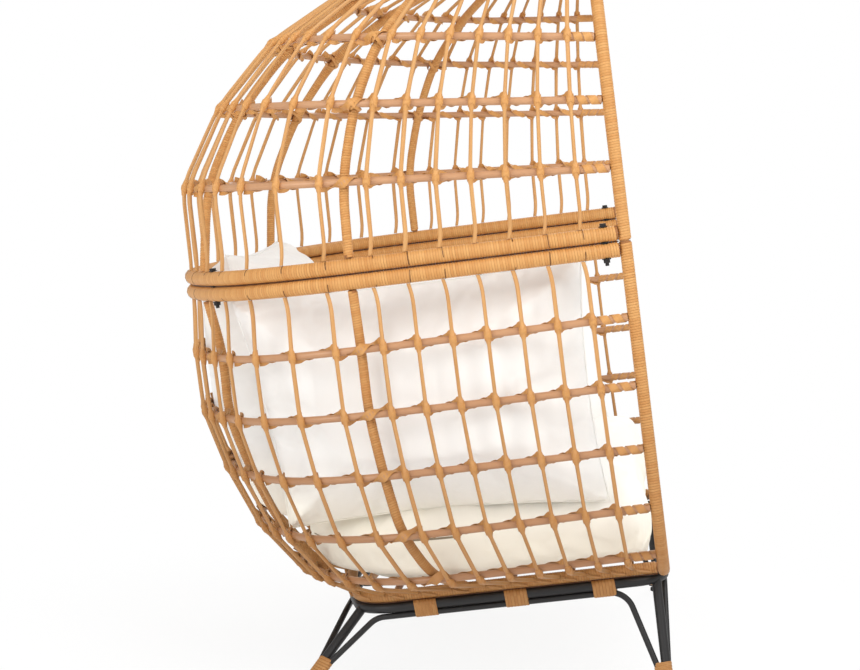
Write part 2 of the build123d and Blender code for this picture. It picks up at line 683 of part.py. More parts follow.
def seat_pad_outline(height, inset):
    """One layer of the seat cushion."""
    half = SEAT_PAD_HALF_WIDTH - inset
    front = SEAT_PAD_FRONT + inset * SEAT_PAD_FRONT_DRAW
    back = SEAT_PAD_BACK - inset
    nose = SEAT_PAD_FRONT_CORNER - inset * 0.4
    heel = SEAT_PAD_REAR_CORNER - inset * 0.6
    with BuildSketch(pad_plane.offset(height)) as layer:
        with BuildLine():
            ThreePointArc((nose - half, front), (0, front + SEAT_PAD_DRAW), (half - nose, front))
            CenterArc((half - nose, front + nose), nose, -90, 90)
            ThreePointArc(
                (half, front + nose),
                (half - SEAT_PAD_DRAW / 2, (front + nose + back - heel) / 2),
                (half, back - heel),
            )
            CenterArc((half - heel, back - heel), heel, 0, 90)
            Line((half - heel, back), (heel - half, back))
            CenterArc((heel - half, back - heel), heel, 90, 90)
            ThreePointArc(
                (-half, back - heel),
                (SEAT_PAD_DRAW / 2 - half, (front + nose + back - heel) / 2),
                (-half, front + nose),
            )
            CenterArc((nose - half, front + nose), nose, 180, 90)
        make_face()
    return layer.sketch


with BuildPart() as seat_cushion:
    for height, inset in SEAT_PAD_LAYERS:
        add(seat_pad_outline(height, inset))
    loft()
save("seat_cushion", seat_cushion.part)


# Pillows: two crowned halves that meet at a sharp seam with drawn-in sides
def pillow_outline(plane, length, height, inset, flare):
    """One layer of a pillow; the sides go from drawn in at the seam to bowed at the crown."""
    half_length = length / 2 - inset
    half_height = height / 2 - inset * 0.8
    draw = PILLOW_DRAW - inset * 0.32
    reach = half_length + flare
    with BuildSketch(plane) as layer:
        with BuildLine():
            ThreePointArc((-half_length, -half_height), (0, draw - half_height), (half_length, -half_height))
            ThreePointArc((half_length, -half_height), (half_length + flare / 2 - draw, 0), (reach, half_height))
            ThreePointArc((reach, half_height), (flare / 2, half_height - draw), (-half_length, half_height))
            ThreePointArc((-half_length, half_height), (draw - half_length, 0), (-half_length, -half_height))
        make_face()
    return layer.sketch


def pillow(plane, length, height, swell, flare=0.0):
    """Knife-edge pillow whose seam lies in the plane; the flare lengthens its upper edge at one end."""
    with BuildPart() as pad:
        for side in (1, -1):
            for share, inset in PILLOW_LAYERS:
                add(pillow_outline(plane.offset(side * share * swell), length, height, inset, flare))
            loft()
    return pad.part


yaw = radians(SIDE_PILLOW_YAW)
for name, side in (("left", 1), ("right", -1)):
    along = BACKWARD * cos(yaw) - Vector(side * sin(yaw), 0, 0)
    centre = BODY.from_local_coords((side * SIDE_PILLOW_X, SIDE_PILLOW_V, SIDE_PILLOW_U))
    side_plane = Plane(centre, x_dir=along, z_dir=along.cross(UP))
    side_pillow = pillow(
        side_plane, SIDE_PILLOW_LENGTH, SIDE_PILLOW_HEIGHT, SIDE_PILLOW_SWELL, SIDE_PILLOW_FLARE)
    save(f"pillow_{name}", side_pillow)

recline = radians(BACK_PILLOW_RECLINE)
facing = UP * sin(recline) - BACKWARD * cos(recline)
centre = BODY.from_local_coords((0, BACK_PILLOW_V, BACK_PILLOW_U))
back_plane = Plane(centre, x_dir=(1, 0, 0), z_dir=facing)
save("pillow_back", pillow(back_plane, BACK_PILLOW_LENGTH, BACK_PILLOW_HEIGHT, BACK_PILLOW_SWELL))
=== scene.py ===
"""Looks of the nest chair: wound wicker, tied hoops, canvas cushions and a studio."""
from math import acos, asin, atan2, cos, degrees, exp, hypot, pi, radians, sin, sqrt, tan

import bmesh
import bpy
from bpy.props import FloatProperty, FloatVectorProperty, IntProperty, PointerProperty
from mathutils import Matrix, Vector, noise


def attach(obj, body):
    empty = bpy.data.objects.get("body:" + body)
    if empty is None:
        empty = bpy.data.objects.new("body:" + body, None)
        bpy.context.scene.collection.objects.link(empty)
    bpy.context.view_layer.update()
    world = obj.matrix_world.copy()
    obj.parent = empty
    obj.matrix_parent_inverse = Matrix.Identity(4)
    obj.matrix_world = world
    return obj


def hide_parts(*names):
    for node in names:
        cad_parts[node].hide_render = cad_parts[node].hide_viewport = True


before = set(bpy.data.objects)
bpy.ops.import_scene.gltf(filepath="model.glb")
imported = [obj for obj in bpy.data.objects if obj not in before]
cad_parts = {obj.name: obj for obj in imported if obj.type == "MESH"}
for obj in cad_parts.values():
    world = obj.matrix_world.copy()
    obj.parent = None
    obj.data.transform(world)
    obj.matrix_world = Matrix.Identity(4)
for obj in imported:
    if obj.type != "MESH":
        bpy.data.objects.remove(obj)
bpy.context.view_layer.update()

bl_info = {
    "name": "Nest Chair",
    "version": (1, 0, 0),
    "blender": (4, 5, 0),
    "location": "View3D > Sidebar > Nest Chair",
    "description": "Dresses the packed nest chair with wicker, canvas and a studio",
    "category": "Object",
}

# Sizes of the part's source, in metres, down to FOOT_WRAP: first the stance and outline of the nest
LEAN = radians(7.2)
BODY = Vector((0.0, -0.34696, 0.751))
ACROSS = Vector((1.0, 0.0, 0.0))
UP = Vector((0.0, sin(LEAN), cos(LEAN)))
BACK = Vector((0.0, cos(LEAN), -sin(LEAN)))
RIM_HALF_WIDTH = 0.514
RIM_TOP = 0.545
RIM_TOP_CORNER = 0.240
RIM_TOP_ARC = 0.850
RIM_BOTTOM = 0.548
RIM_BOTTOM_CORNER = 0.150
BULGE = 1.03
CORNER_SHARE = 0.50
REAR_SHARE = 1.45
WAIST_DEPTH = 0.777
CROWN_DEPTH = 0.272
DOME_RUN = WAIST_DEPTH - CROWN_DEPTH
DOME_LEVELS = (
    (0.113, 0.167, CROWN_DEPTH + DOME_RUN * 0.966),
    (0.218, 0.294, CROWN_DEPTH + DOME_RUN * 0.812),
    (0.315, 0.392, CROWN_DEPTH + DOME_RUN * 0.606),
    (0.406, 0.457, CROWN_DEPTH + DOME_RUN * 0.355),
    (0.485, 0.508, CROWN_DEPTH),
)
BOWL_LEVELS = (
    (-0.119, -0.120, WAIST_DEPTH + 0.001),
    (-0.226, -0.221, WAIST_DEPTH),
    (-0.326, -0.320, WAIST_DEPTH - 0.026),
    (-0.420, -0.423, WAIST_DEPTH - 0.069),
    (-0.503, -0.504, WAIST_DEPTH - 0.128),
)

# Tubes and rods, and the play between them
FIT = 0.0003
WAIST_GAP = 0.0016
RIM_RADIUS = 0.010
RING_RADIUS = 0.012
RIB_RADIUS = 0.008
HOOP_RADIUS = 0.006
STRAND_RADIUS = 0.00325
RING_LEVEL = RING_RADIUS + WAIST_GAP / 2
BUTT = RIM_RADIUS + FIT

# Ribs and strands, placed by shares of half a hoop line
SIDE_RIB_AT = 0.380
BACK_RIB_AT = 0.700
FIRST_STRAND_AT = 0.057
FRONT_BAY_STRANDS = 7
SIDE_BAY_STRANDS = 5
BACK_BAY_STRANDS = 8
FRONT_BAY_TRIM = 0.3

# Where the uprights end on the arch, and how softly they bend
CROWN_HALF_WIDTH = 0.310
CROWN_ANGLE = radians(50.0)
RIB_EASE = 0.42
STRAND_EASE = 0.22

# Seat ring and base
SEAT_HALF_WIDTH = 0.355
SEAT_DEPTH = 0.557
SEAT_BACK_DROP = 0.002
SEAT_CORNER = 0.070
SEAT_REAR_ARC = 1.200
BASE_RADIUS = 0.0085
BASE_FRONT = 0.001
LEG_RADIUS = 0.008
BRACE_RADIUS = 0.005
BAND_WIDTH = 0.043
BAND_WRAP = 0.0015
SIDE_BANDS = (0.101, 0.247, 0.399)
CROSS_BANDS = (-0.150, 0.150)
FOOT_WRAP = 0.046

# Straight coils before they are bent around a tube, and the profile of one turn of strip
COIL_RADIUS = 0.05
COIL_STEPS = 12
STRIP_RISE = 0.16
STRIP_FALL = 0.86
STRIP_SAG = 0.2

# Cord between two tubes
# Dark cord that closes the gap between two tubes, its dark colour painted shade of the gap
CORD_RADIUS = 0.0011

# Reeds: hook at the waist ring, twist of the slightly flat section, waves of thickness
HOOK = 0.0045
HOOK_RUN = 0.034
REED_FLAT = 0.10
REED_TWIST = 5.0
TWIST_BY_SHARE = 40.0
REED_WAVE = 0.04
WAVE_RATE = 31.0
WAVE_BY_SHARE = 90.0

# Ribbons: pieces that their length is measured in, and the step that finds their way
RIBBON_PIECES = 8
RIBBON_STEP = 0.03

# Edges that turn by more than this stay sharp
SHARP_ANGLE = radians(55.0)

# Step between the drawn coordinates of two copies, so that no two look alike
LAY_STEP = 3.7

# Depth of the nest's middle, as a share of the waist's depth
MIDDLE_SHARE = 0.45

# Turns below this many degrees count as straight; rounds that settle the others
STRAIGHT_BELOW = 0.25
SETTLING_ROUNDS = 6

# Painted shade: wicker darkens towards the groove tone from the first height down to the second, at
# most by this share
SHADE_START_HEIGHT = 0.75
SHADE_FULL_HEIGHT = 0.15
BASE_SHADE_SHARE = 0.48

# Painted warm light off the wicker on the canvas, from the first height down to the second, at most by
# this share
WHITE_HEIGHT = 0.40
WARM_HEIGHT = 0.24
BOUNCE_LIGHT_SHARE = 0.75

# Waves per metre, in radians, of the canvas threads and the zip's teeth
THREAD_RATE = 5200.0
TEETH_RATE = 2600.0

# Worn coating is lighter by this factor
WORN = 1.35

# Seen colours of the small parts
RUBBER_DARK = (0.07, 0.07, 0.07)
RUBBER_LIGHT = (0.12, 0.12, 0.12)
ZIP_DARK = (0.46, 0.40, 0.31)
ZIP_LIGHT = (0.62, 0.56, 0.46)


class NestSizes(bpy.types.PropertyGroup):
    """Sizes of the wicker work."""

    ring_pitch: FloatProperty(
        name="Ring Turn", description="Length of one turn of strip on the waist and seat rings",
        default=0.0043, min=0.002, unit="LENGTH")
    rim_pitch: FloatProperty(
        name="Rim Turn", description="Length of one turn of strip on the front rim",
        default=0.0042, min=0.002, unit="LENGTH")
    rib_pitch: FloatProperty(
        name="Rib Turn", description="Length of one turn of strip on the ribs",
        default=0.0040, min=0.002, unit="LENGTH")
    band_pitch: FloatProperty(
        name="Band Turn", description="Length of one turn of strip on the bands of the base",
        default=0.0054, min=0.002, unit="LENGTH")
    groove: FloatProperty(
        name="Groove", description="Depth of the line between two turns of strip",
        default=0.0007, min=0.0, unit="LENGTH")
    tie_width: FloatProperty(
        name="Tie Width", description="Width of the strip that runs along the hoops",
        default=0.0120, min=0.001, unit="LENGTH")
    tie_thickness: FloatProperty(
        name="Tie Thickness", description="Thickness of the strips that tie the hoops",
        default=0.0008, min=0.0002, unit="LENGTH")
    knot_length: FloatProperty(
        name="Knot Length", description="Height of the knot where a strand crosses a hoop",
        default=0.028, min=0.005, unit="LENGTH")
    cloth_frames: IntProperty(
        name="Cloth Frames", description="Frames of the simulation that fills the cushions",
        default=20, min=1)


class NestColours(bpy.types.PropertyGroup):
    """Colours of the finishes, as they are seen."""

    strip_light: FloatVectorProperty(
        name="Strip Light", description="Paler tone of the wicker strip", subtype="COLOR_GAMMA",
        size=3, min=0.0, max=1.0, default=(0.860, 0.655, 0.400))
    strip_dark: FloatVectorProperty(
        name="Strip Dark", description="Deeper tone of the wicker strip", subtype="COLOR_GAMMA",
        size=3, min=0.0, max=1.0, default=(0.755, 0.510, 0.255))
    # Also the dark tone that the painted shade towards the base mixes in
    strip_groove: FloatVectorProperty(
        name="Strip Groove", description="Tone of the lines between turns", subtype="COLOR_GAMMA",
        size=3, min=0.0, max=1.0, default=(0.45, 0.27, 0.12))
    # Painted shade: darker tone of the gap cords and the ring slits, with Strip Groove as their
    # lighter tone
    gap_shade_dark: FloatVectorProperty(
        name="Cord Dark", description="Deeper tone of the cords and the ring slits",
        subtype="COLOR_GAMMA", size=3, min=0.0, max=1.0, default=(0.24, 0.14, 0.07))
    reed_light: FloatVectorProperty(
        name="Reed Light", description="Paler tone of the round strands", subtype="COLOR_GAMMA",
        size=3, min=0.0, max=1.0, default=(0.845, 0.660, 0.425))
    reed_dark: FloatVectorProperty(
        name="Reed Dark", description="Deeper tone of the round strands", subtype="COLOR_GAMMA",
        size=3, min=0.0, max=1.0, default=(0.750, 0.520, 0.285))
    hoop_light: FloatVectorProperty(
        name="Hoop Light", description="Paler tone of the hoops", subtype="COLOR_GAMMA",
        size=3, min=0.0, max=1.0, default=(0.800, 0.615, 0.455))
    hoop_dark: FloatVectorProperty(
        name="Hoop Dark", description="Deeper tone of the hoops", subtype="COLOR_GAMMA",
        size=3, min=0.0, max=1.0, default=(0.700, 0.510, 0.360))
    canvas: FloatVectorProperty(
        name="Canvas", description="Cream of the cushions", subtype="COLOR_GAMMA",
        size=3, min=0.0, max=1.0, default=(0.968, 0.970, 0.964))
    canvas_shade: FloatVectorProperty(
        name="Canvas Shade", description="Warmer tone between the threads", subtype="COLOR_GAMMA",
        size=3, min=0.0, max=1.0, default=(0.950, 0.950, 0.938))
    steel: FloatVectorProperty(
        name="Steel", description="Black coating of the base", subtype="COLOR_GAMMA",
        size=3, min=0.0, max=1.0, default=(0.085, 0.080, 0.080))
    tube: FloatVectorProperty(
        name="Tube", description="Brown coating of the wrapped tubes", subtype="COLOR_GAMMA",
        size=3, min=0.0, max=1.0, default=(0.52, 0.34, 0.18))
    canvas_bounce_light: FloatVectorProperty(
        name="Canvas Warm", description="Canvas low in the nest, in the light off the wicker",
        subtype="COLOR_GAMMA", size=3, min=0.0, max=1.0, default=(0.975, 0.945, 0.865))
    backdrop: FloatVectorProperty(
        name="Backdrop", description="Floor and surroundings", subtype="COLOR_GAMMA",
        size=3, min=0.0, max=1.0, default=(1.0, 1.0, 1.0))


def sizes():
    """The wicker sizes of this scene."""
    return bpy.context.scene.nest_sizes


def colours():
    """The colours of this scene."""
    return bpy.context.scene.nest_colours


def linear(colour):
    """A seen colour as the light value that the shaders take."""
    channels = [c / 12.92 if c <= 0.04045 else ((c + 0.055) / 1.055) ** 2.4 for c in colour]
    return (*channels, 1.0)


class Straight:
    """A straight run between two points."""

    def __init__(self, start, end):
        self.start = start
        self.way = (end - start).normalized()
        self.length = (end - start).length

    def at(self, distance):
        return self.start + self.way * distance, self.way


class Bend:
    """An arc around a centre that leaves a point along a heading."""

    def __init__(self, centre, start, heading, angle):
        self.centre = centre
        self.arm = start - centre
        self.radius = self.arm.length
        self.heading = heading.normalized()
        self.length = self.radius * angle

    def at(self, distance):
        turn = distance / self.radius
        point = self.centre + self.arm * cos(turn) + self.heading * (self.radius * sin(turn))
        way = self.heading * cos(turn) - self.arm.normalized() * sin(turn)
        return point, way


class Route:
    """Runs end to end, measured along their length."""

    def __init__(self, runs):
        self.runs = runs
        self.length = sum(run.length for run in runs)

    def at(self, distance):
        left = distance
        for run in self.runs[:-1]:
            if left <= run.length:
                return run.at(left)
            left -= run.length
        return self.runs[-1].at(left)

    def share(self, share):
        return self.at(share * self.length)


def round_end(half_width, corner, far, arc):
    """Where the sides of a ring end before its corners and wide arc, and how far a corner turns."""
    rise = sqrt((arc - corner) ** 2 - (half_width - corner) ** 2)
    return far - arc + rise, atan2(rise, half_width - corner)


class Board:
    """A flat drawing board: x runs across, y along the board's own slope."""

    def __init__(self, origin, slope):
        self.origin = origin
        self.slope = slope
        self.normal = ACROSS.cross(slope)

    def lifted(self, height):
        return Board(self.origin + self.normal * height, self.slope)

    def point(self, x, y):
        return self.origin + ACROSS * x + self.slope * y

    def arc(self, x, y, radius, start, sweep):
        arm = Vector((cos(start), sin(start)))
        first = self.point(x + radius * arm.x, y + radius * arm.y)
        heading = self.slope * arm.x - ACROSS * arm.y
        return Bend(self.point(x, y), first, heading if sweep > 0 else -heading, abs(sweep))

    def line(self, first, last):
        return Straight(self.point(*first), self.point(*last))

    def end_arcs(self, half_width, corner, far, arc):
        """Corner, wide arc and corner at the far end of a ring, from +X to -X."""
        straight, turn = round_end(half_width, corner, far, arc)
        inner = half_width - corner
        return [
            self.arc(inner, straight, corner, 0, turn),
            self.arc(0, far - arc, arc, turn, pi - 2 * turn),
            self.arc(-inner, straight, corner, pi - turn, turn),
        ]

    def ring(self, start, half_width, corner, far, arc):
        """Straight sides from a start, with the rounded end between them, from +X to -X."""
        straight = round_end(half_width, corner, far, arc)[0]
        return Route([
            self.line((half_width, start), (half_width, straight)),
            *self.end_arcs(half_width, corner, far, arc),
            self.line((-half_width, straight), (-half_width, start)),
        ])


RIM_END = (RIM_HALF_WIDTH, RIM_TOP_CORNER, RIM_TOP, RIM_TOP_ARC)
RIM_SHOULDER, RIM_TURN = round_end(*RIM_END)


def rim_half_width(height):
    """Half width of the front rim at a height above or below the waist joint."""
    hip = RIM_BOTTOM_CORNER - RIM_BOTTOM
    if height > RIM_SHOULDER + RIM_TOP_CORNER * sin(RIM_TURN):
        return sqrt(RIM_TOP_ARC ** 2 - (height - RIM_TOP + RIM_TOP_ARC) ** 2)
    if height > RIM_SHOULDER:
        reach = sqrt(RIM_TOP_CORNER ** 2 - (height - RIM_SHOULDER) ** 2)
        return RIM_HALF_WIDTH - RIM_TOP_CORNER + reach
    if height < hip:
        reach = sqrt(RIM_BOTTOM_CORNER ** 2 - (height - hip) ** 2)
        return RIM_HALF_WIDTH - RIM_BOTTOM_CORNER + reach
    return RIM_HALF_WIDTH


def level_board(front, back, depth):
    """Board of a hoop that lies at one height on the rim and another at the back."""
    pitch = atan2(back - front, depth)
    return Board(BODY + UP * front, BACK * cos(pitch) + UP * sin(pitch))


def nest_route(front, back, depth, start=0.0):
    """Hoop line from the +X rim around the back to the -X rim."""
    narrow = rim_half_width(front)
    wide = narrow * BULGE
    end = (wide, wide * CORNER_SHARE, hypot(depth, back - front), wide * REAR_SHARE)
    straight = round_end(*end)[0]
    side = (straight ** 2 + (wide - narrow) ** 2) / (2 * (wide - narrow))
    lead = asin((straight - start) / side)
    board = level_board(front, back, depth)
    return Route([
        board.arc(wide - side, straight, side, -lead, lead),
        *board.end_arcs(*end),
        board.arc(side - wide, straight, side, pi, lead),
    ])


SEAT_BOARD = level_board(-RIM_BOTTOM, -RIM_BOTTOM - SEAT_BACK_DROP, SEAT_DEPTH)
SEAT_END = (SEAT_HALF_WIDTH, SEAT_CORNER, SEAT_DEPTH, SEAT_REAR_ARC)
SEAT_STRAIGHT, SEAT_TURN = round_end(*SEAT_END)


def seat_route(start, board=SEAT_BOARD):
    """Line of the seat ring from the +X front end around the back to the -X front end."""
    return board.ring(start, *SEAT_END)


RIM_BOARD = Board(BODY, UP)


def arch_route():
    """Upper half of the front rim, from the +X waist over the top to the -X waist."""
    return RIM_BOARD.ring(WAIST_GAP / 2, *RIM_END)


def sill_route():
    """Lower half of the front rim, from the +X waist under the seat to the -X waist."""
    inner = RIM_HALF_WIDTH - RIM_BOTTOM_CORNER
    hip = RIM_BOTTOM_CORNER - RIM_BOTTOM
    gap = -WAIST_GAP / 2
    return Route([
        RIM_BOARD.line((RIM_HALF_WIDTH, gap), (RIM_HALF_WIDTH, hip)),
        RIM_BOARD.arc(inner, hip, RIM_BOTTOM_CORNER, 0, -pi / 2),
        RIM_BOARD.line((inner, -RIM_BOTTOM), (-inner, -RIM_BOTTOM)),
        RIM_BOARD.arc(-inner, hip, RIM_BOTTOM_CORNER, -pi / 2, -pi / 2),
        RIM_BOARD.line((-RIM_HALF_WIDTH, hip), (-RIM_HALF_WIDTH, gap)),
    ])


def crown_route():
    """Part of the arch where the dome's uprights end."""
    angle = acos(CROWN_HALF_WIDTH / RIM_TOP_ARC)
    return Route([RIM_BOARD.arc(0, RIM_TOP - RIM_TOP_ARC, RIM_TOP_ARC, angle, pi - 2 * angle)])


DOME_LINES = [nest_route(RING_LEVEL, RING_LEVEL, WAIST_DEPTH)]
DOME_LINES += [nest_route(*level) for level in DOME_LEVELS]
DOME_LINES.append(crown_route())
BOWL_LINES = [seat_route(0)]
BOWL_LINES += [nest_route(*level) for level in reversed(BOWL_LEVELS)]
BOWL_LINES.append(nest_route(-RING_LEVEL, -RING_LEVEL, WAIST_DEPTH))


class Crossing:
    """Where an upright passes a hoop: the hoop's point, its line, the rise and the way out."""

    def __init__(self, lines, number, share):
        self.point, self.along = lines[number].share(share)
        rising = lines[number + 1].share(share)[0] - lines[number - 1].share(share)[0]
        self.out = self.along.cross(rising).normalized()
        self.rise = self.out.cross(self.along).normalized()
        self.upright = rising.normalized()

    def beside(self, offset):
        return self.point + self.out * offset


def butt_end(line, share, towards, reach, radius):
    """End of a rod that meets a tube of radius reach on its way to the tube's line."""
    centre, way = line.share(share)
    heading = (towards - centre).normalized()
    slant = abs(heading.dot(way))
    return centre + heading * ((reach + FIT + radius * slant) / sqrt(1 - slant ** 2))


def upright_points(lines, dome, share, radius, side):
    """Points that a rib (side -1, inside) or a strand (side 1, outside) passes."""
    offset = side * (HOOP_RADIUS + radius + FIT)
    points = [Crossing(lines, number, share).beside(offset) for number in range(1, len(lines) - 1)]
    foot_reach = RING_RADIUS if dome else RIM_RADIUS
    foot = butt_end(lines[0], share, points[0], foot_reach, radius)
    if dome:
        crown = BACK * cos(CROWN_ANGLE) + UP * (side * sin(CROWN_ANGLE))
        head = lines[-1].share(share)[0] + crown * (RIM_RADIUS + radius + FIT)
    else:
        head = butt_end(lines[-1], share, points[-1], RING_RADIUS, radius)
    return [foot] + points + [head]


def smooth_route(points, ease):
    """Straight runs joined by arcs whose middles pass through the given points."""
    kept = [points[0]]
    for here, after in zip(points[1:], points[2:]):
        if degrees((here - kept[-1]).angle(after - here)) > STRAIGHT_BELOW:
            kept.append(here)
    kept.append(points[-1])
    corners = list(kept)
    for attempt in range(SETTLING_ROUNDS):
        used = corners
        reaches = []
        moved = [kept[0]]
        for before, here, after, goal in zip(used, used[1:], used[2:], kept[1:]):
            turn = (here - before).angle(after - here)
            reach = ease * min((here - before).length, (after - here).length)
            reaches.append(reach)
            inward = (before - here).normalized() + (after - here).normalized()
            sag = reach / tan(turn / 2) * (1 / cos(turn / 2) - 1)
            moved.append(goal - inward.normalized() * sag)
        corners = moved + [kept[-1]]
    runs = []
    last = used[0]
    for before, here, after, reach in zip(used, used[1:], used[2:], reaches):
        heading = (here - before).normalized()
        leaving = (after - here).normalized()
        turn = heading.angle(leaving)
        start = here - heading * reach
        inward = (leaving - heading * leaving.dot(heading)).normalized()
        runs.append(Straight(last, start))
        runs.append(Bend(start + inward * (reach / tan(turn / 2)), start, heading, turn))
        last = here + leaving * reach
    runs.append(Straight(last, used[-1]))
    return Route(runs)


def strand_shares():
    """Shares of the strands along a hoop line, from the +X rim to the -X rim, by bay."""
    front_pitch = (SIDE_RIB_AT - FIRST_STRAND_AT) / (FRONT_BAY_STRANDS - FRONT_BAY_TRIM)
    side_pitch = (BACK_RIB_AT - SIDE_RIB_AT) / SIDE_BAY_STRANDS
    back_pitch = (2 - 2 * BACK_RIB_AT) / BACK_BAY_STRANDS
    left = [(FIRST_STRAND_AT + front_pitch * number) / 2 for number in range(FRONT_BAY_STRANDS)]
    left += [(SIDE_RIB_AT + side_pitch * (number + 0.5)) / 2 for number in range(SIDE_BAY_STRANDS)]
    back = [(BACK_RIB_AT + back_pitch * (number + 0.5)) / 2 for number in range(BACK_BAY_STRANDS)]
    right = [1 - share for share in left]
    return {"left": left, "right": right, "back": back}


RIB_SHARES = (SIDE_RIB_AT / 2, BACK_RIB_AT / 2, 1 - BACK_RIB_AT / 2, 1 - SIDE_RIB_AT / 2)
SHELLS = {"dome": DOME_LINES, "bowl": BOWL_LINES}


def upright_route(shell, share, radius, side):
    """Route of one rib or strand."""
    ease = RIB_EASE if side < 0 else STRAND_EASE
    points = upright_points(SHELLS[shell], shell == "dome", share, radius, side)
    return smooth_route(points, ease)


def linked(name, data):
    """A new object in the scene, with its data under the same name."""
    data.name = name
    made = bpy.data.objects.new(name, data)
    bpy.context.collection.objects.link(made)
    return made


class Piece:
    """A mesh that grows from bent copies of straight templates, and becomes one object."""

    def __init__(self, name):
        self.name = name
        self.mesh = bmesh.new()
        self.mesh.verts.layers.float_vector.new("lay")
        self.count = 0

    def append(self, template, place):
        """Adds a template; place turns its straight coordinates into the row frame."""
        first = len(self.mesh.verts)
        self.mesh.from_mesh(template)
        self.mesh.verts.ensure_lookup_table()
        lay = self.mesh.verts.layers.float_vector["lay"]
        shift = Vector((LAY_STEP * self.count, 0.0, 0.0))
        for vertex in self.mesh.verts[first:]:
            vertex.co, drawn = place(vertex.co.copy())
            vertex[lay] = drawn + shift
        self.count += 1

    def finish(self, material, slot, *nodes):
        """Makes the object, lets it ride on the chair and stand for CAD nodes."""
        bmesh.ops.recalc_face_normals(self.mesh, faces=self.mesh.faces)
        mesh = bpy.data.meshes.new(self.name)
        self.mesh.to_mesh(mesh)
        self.mesh.free()
        mesh.shade_smooth()
        mesh.set_sharp_from_angle(angle=SHARP_ANGLE)
        piece = linked(self.name, mesh)
        mesh.materials.append(material)
        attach(piece, "root")
        if nodes:
            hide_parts(*nodes)


def as_template(mesh):
    """A bmesh as a mesh that Piece can append many times."""
    template = bpy.data.meshes.new("template")
    mesh.to_mesh(template)
    mesh.free()
    return template


def apply_modifiers(piece):
    """Turns what a piece's modifiers show into its own mesh."""
    graph = bpy.context.evaluated_depsgraph_get()
    shown = bpy.data.meshes.new_from_object(piece.evaluated_get(graph))
    old = piece.data
    piece.modifiers.clear()
    piece.data = shown
    bpy.data.meshes.remove(old)


def remove_piece(piece):
    """Deletes a helper object with its mesh."""
    mesh = piece.data
    bpy.data.objects.remove(piece)
    bpy.data.meshes.remove(mesh)


def coil_template(turns, pitch, groove):
    """Straight coil of flat strip around X, each turn a low ridge that laps the one before."""
    mesh = bmesh.new()
    section = (
        (0.0, -groove), (STRIP_RISE * pitch, 0.0),
        (STRIP_FALL * pitch, -STRIP_SAG * groove), (pitch, -groove),
    )
    verts = [mesh.verts.new((x, COIL_RADIUS + lift, 0.0)) for x, lift in section]
    edges = [mesh.edges.new(pair) for pair in zip(verts, verts[1:])]
    bmesh.ops.spin(
        mesh, geom=verts + edges, cent=(0, 0, 0), axis=(1, 0, 0),
        dvec=(pitch / COIL_STEPS, 0, 0), angle=2 * pi, steps=COIL_STEPS)
    one_turn = linked("one_turn", as_template(mesh))
    repeat = one_turn.modifiers.new("repeat", "ARRAY")
    repeat.count = turns
    repeat.use_relative_offset = False
    repeat.use_constant_offset = True
    repeat.constant_offset_displace = (pitch, 0, 0)
    apply_modifiers(one_turn)
    mesh = bmesh.new()
    mesh.from_mesh(one_turn.data)
    remove_piece(one_turn)
    bmesh.ops.remove_doubles(mesh, verts=mesh.verts, dist=1e-6)
    rim = [edge for edge in mesh.edges if edge.is_boundary]
    bmesh.ops.holes_fill(mesh, edges=rim, sides=0)
    return as_template(mesh)


def rod_template(steps, sides):
    """Straight round rod of unit radius and unit length along X."""
    mesh = bmesh.new()
    turn = Matrix.Rotation(pi / 2, 4, "Y")
    bmesh.ops.create_circle(mesh, cap_ends=True, segments=sides, radius=1.0, matrix=turn)
    for step in range(steps):
        mesh.faces.ensure_lookup_table()
        cap = mesh.faces[0] if step == 0 else grown
        made = bmesh.ops.extrude_face_region(mesh, geom=[cap], use_keep_orig=step == 0)
        grown = next(item for item in made["geom"] if isinstance(item, bmesh.types.BMFace))
        bmesh.ops.translate(mesh, verts=grown.verts, vec=(1.0 / steps, 0, 0))
    bmesh.ops.recalc_face_normals(mesh, faces=mesh.faces)
    return as_template(mesh)


def ribbon_template(steps):
    """Straight flat strip of unit length along X and unit width, with unit thickness above it."""
    mesh = bmesh.new()
    bmesh.ops.create_grid(mesh, x_segments=steps, y_segments=1, size=0.5)
    bmesh.ops.translate(mesh, verts=mesh.verts, vec=(0.5, 0, 0))
    made = bmesh.ops.extrude_face_region(mesh, geom=mesh.faces[:], use_keep_orig=True)
    top = [item for item in made["geom"] if isinstance(item, bmesh.types.BMVert)]
    bmesh.ops.translate(mesh, verts=top, vec=(0, 0, 1))
    bmesh.ops.recalc_face_normals(mesh, faces=mesh.faces)
    return as_template(mesh)


def upright_frame(way, reference):
    """Two directions square to a way, the first as near to a reference as it gets."""
    first = (reference - way * reference.dot(way)).normalized()
    return first, way.cross(first)


def bundle_point(y, z, circles):
    """Point on a strip drawn tight around circles, from a straight coil's own section."""
    radius = hypot(y, z)
    normal = Vector((y / radius, z / radius))
    centre, size = max(circles, key=lambda circle: Vector(circle[0]).dot(normal) + circle[1])
    return Vector(centre) + normal * (size + radius - COIL_RADIUS)


def wind(piece, route, circles, pitch, reference):
    """Winds strip along a route; the reference says which way the section's first axis looks."""
    turns = max(1, round((route.length - pitch) / pitch))
    real_pitch = route.length / (turns + 1)
    template = coil_template(turns, real_pitch, sizes().groove)

    def place(straight):
        point, way = route.at(min(max(straight.x, 0.0), route.length))
        first, second = upright_frame(way, reference(point))
        section = bundle_point(straight.y, straight.z, circles)
        drawn = Vector((straight.x / real_pitch, straight.y, straight.z))
        return point + first * section.x + second * section.y, drawn

    piece.append(template, place)
    bpy.data.meshes.remove(template)


def from_axis(point):
    """Way out from the middle of the nest."""
    return point - (BODY + BACK * (WAIST_DEPTH * MIDDLE_SHARE))


def always(direction):
    """A reference that looks the same way everywhere."""
    return lambda point: direction


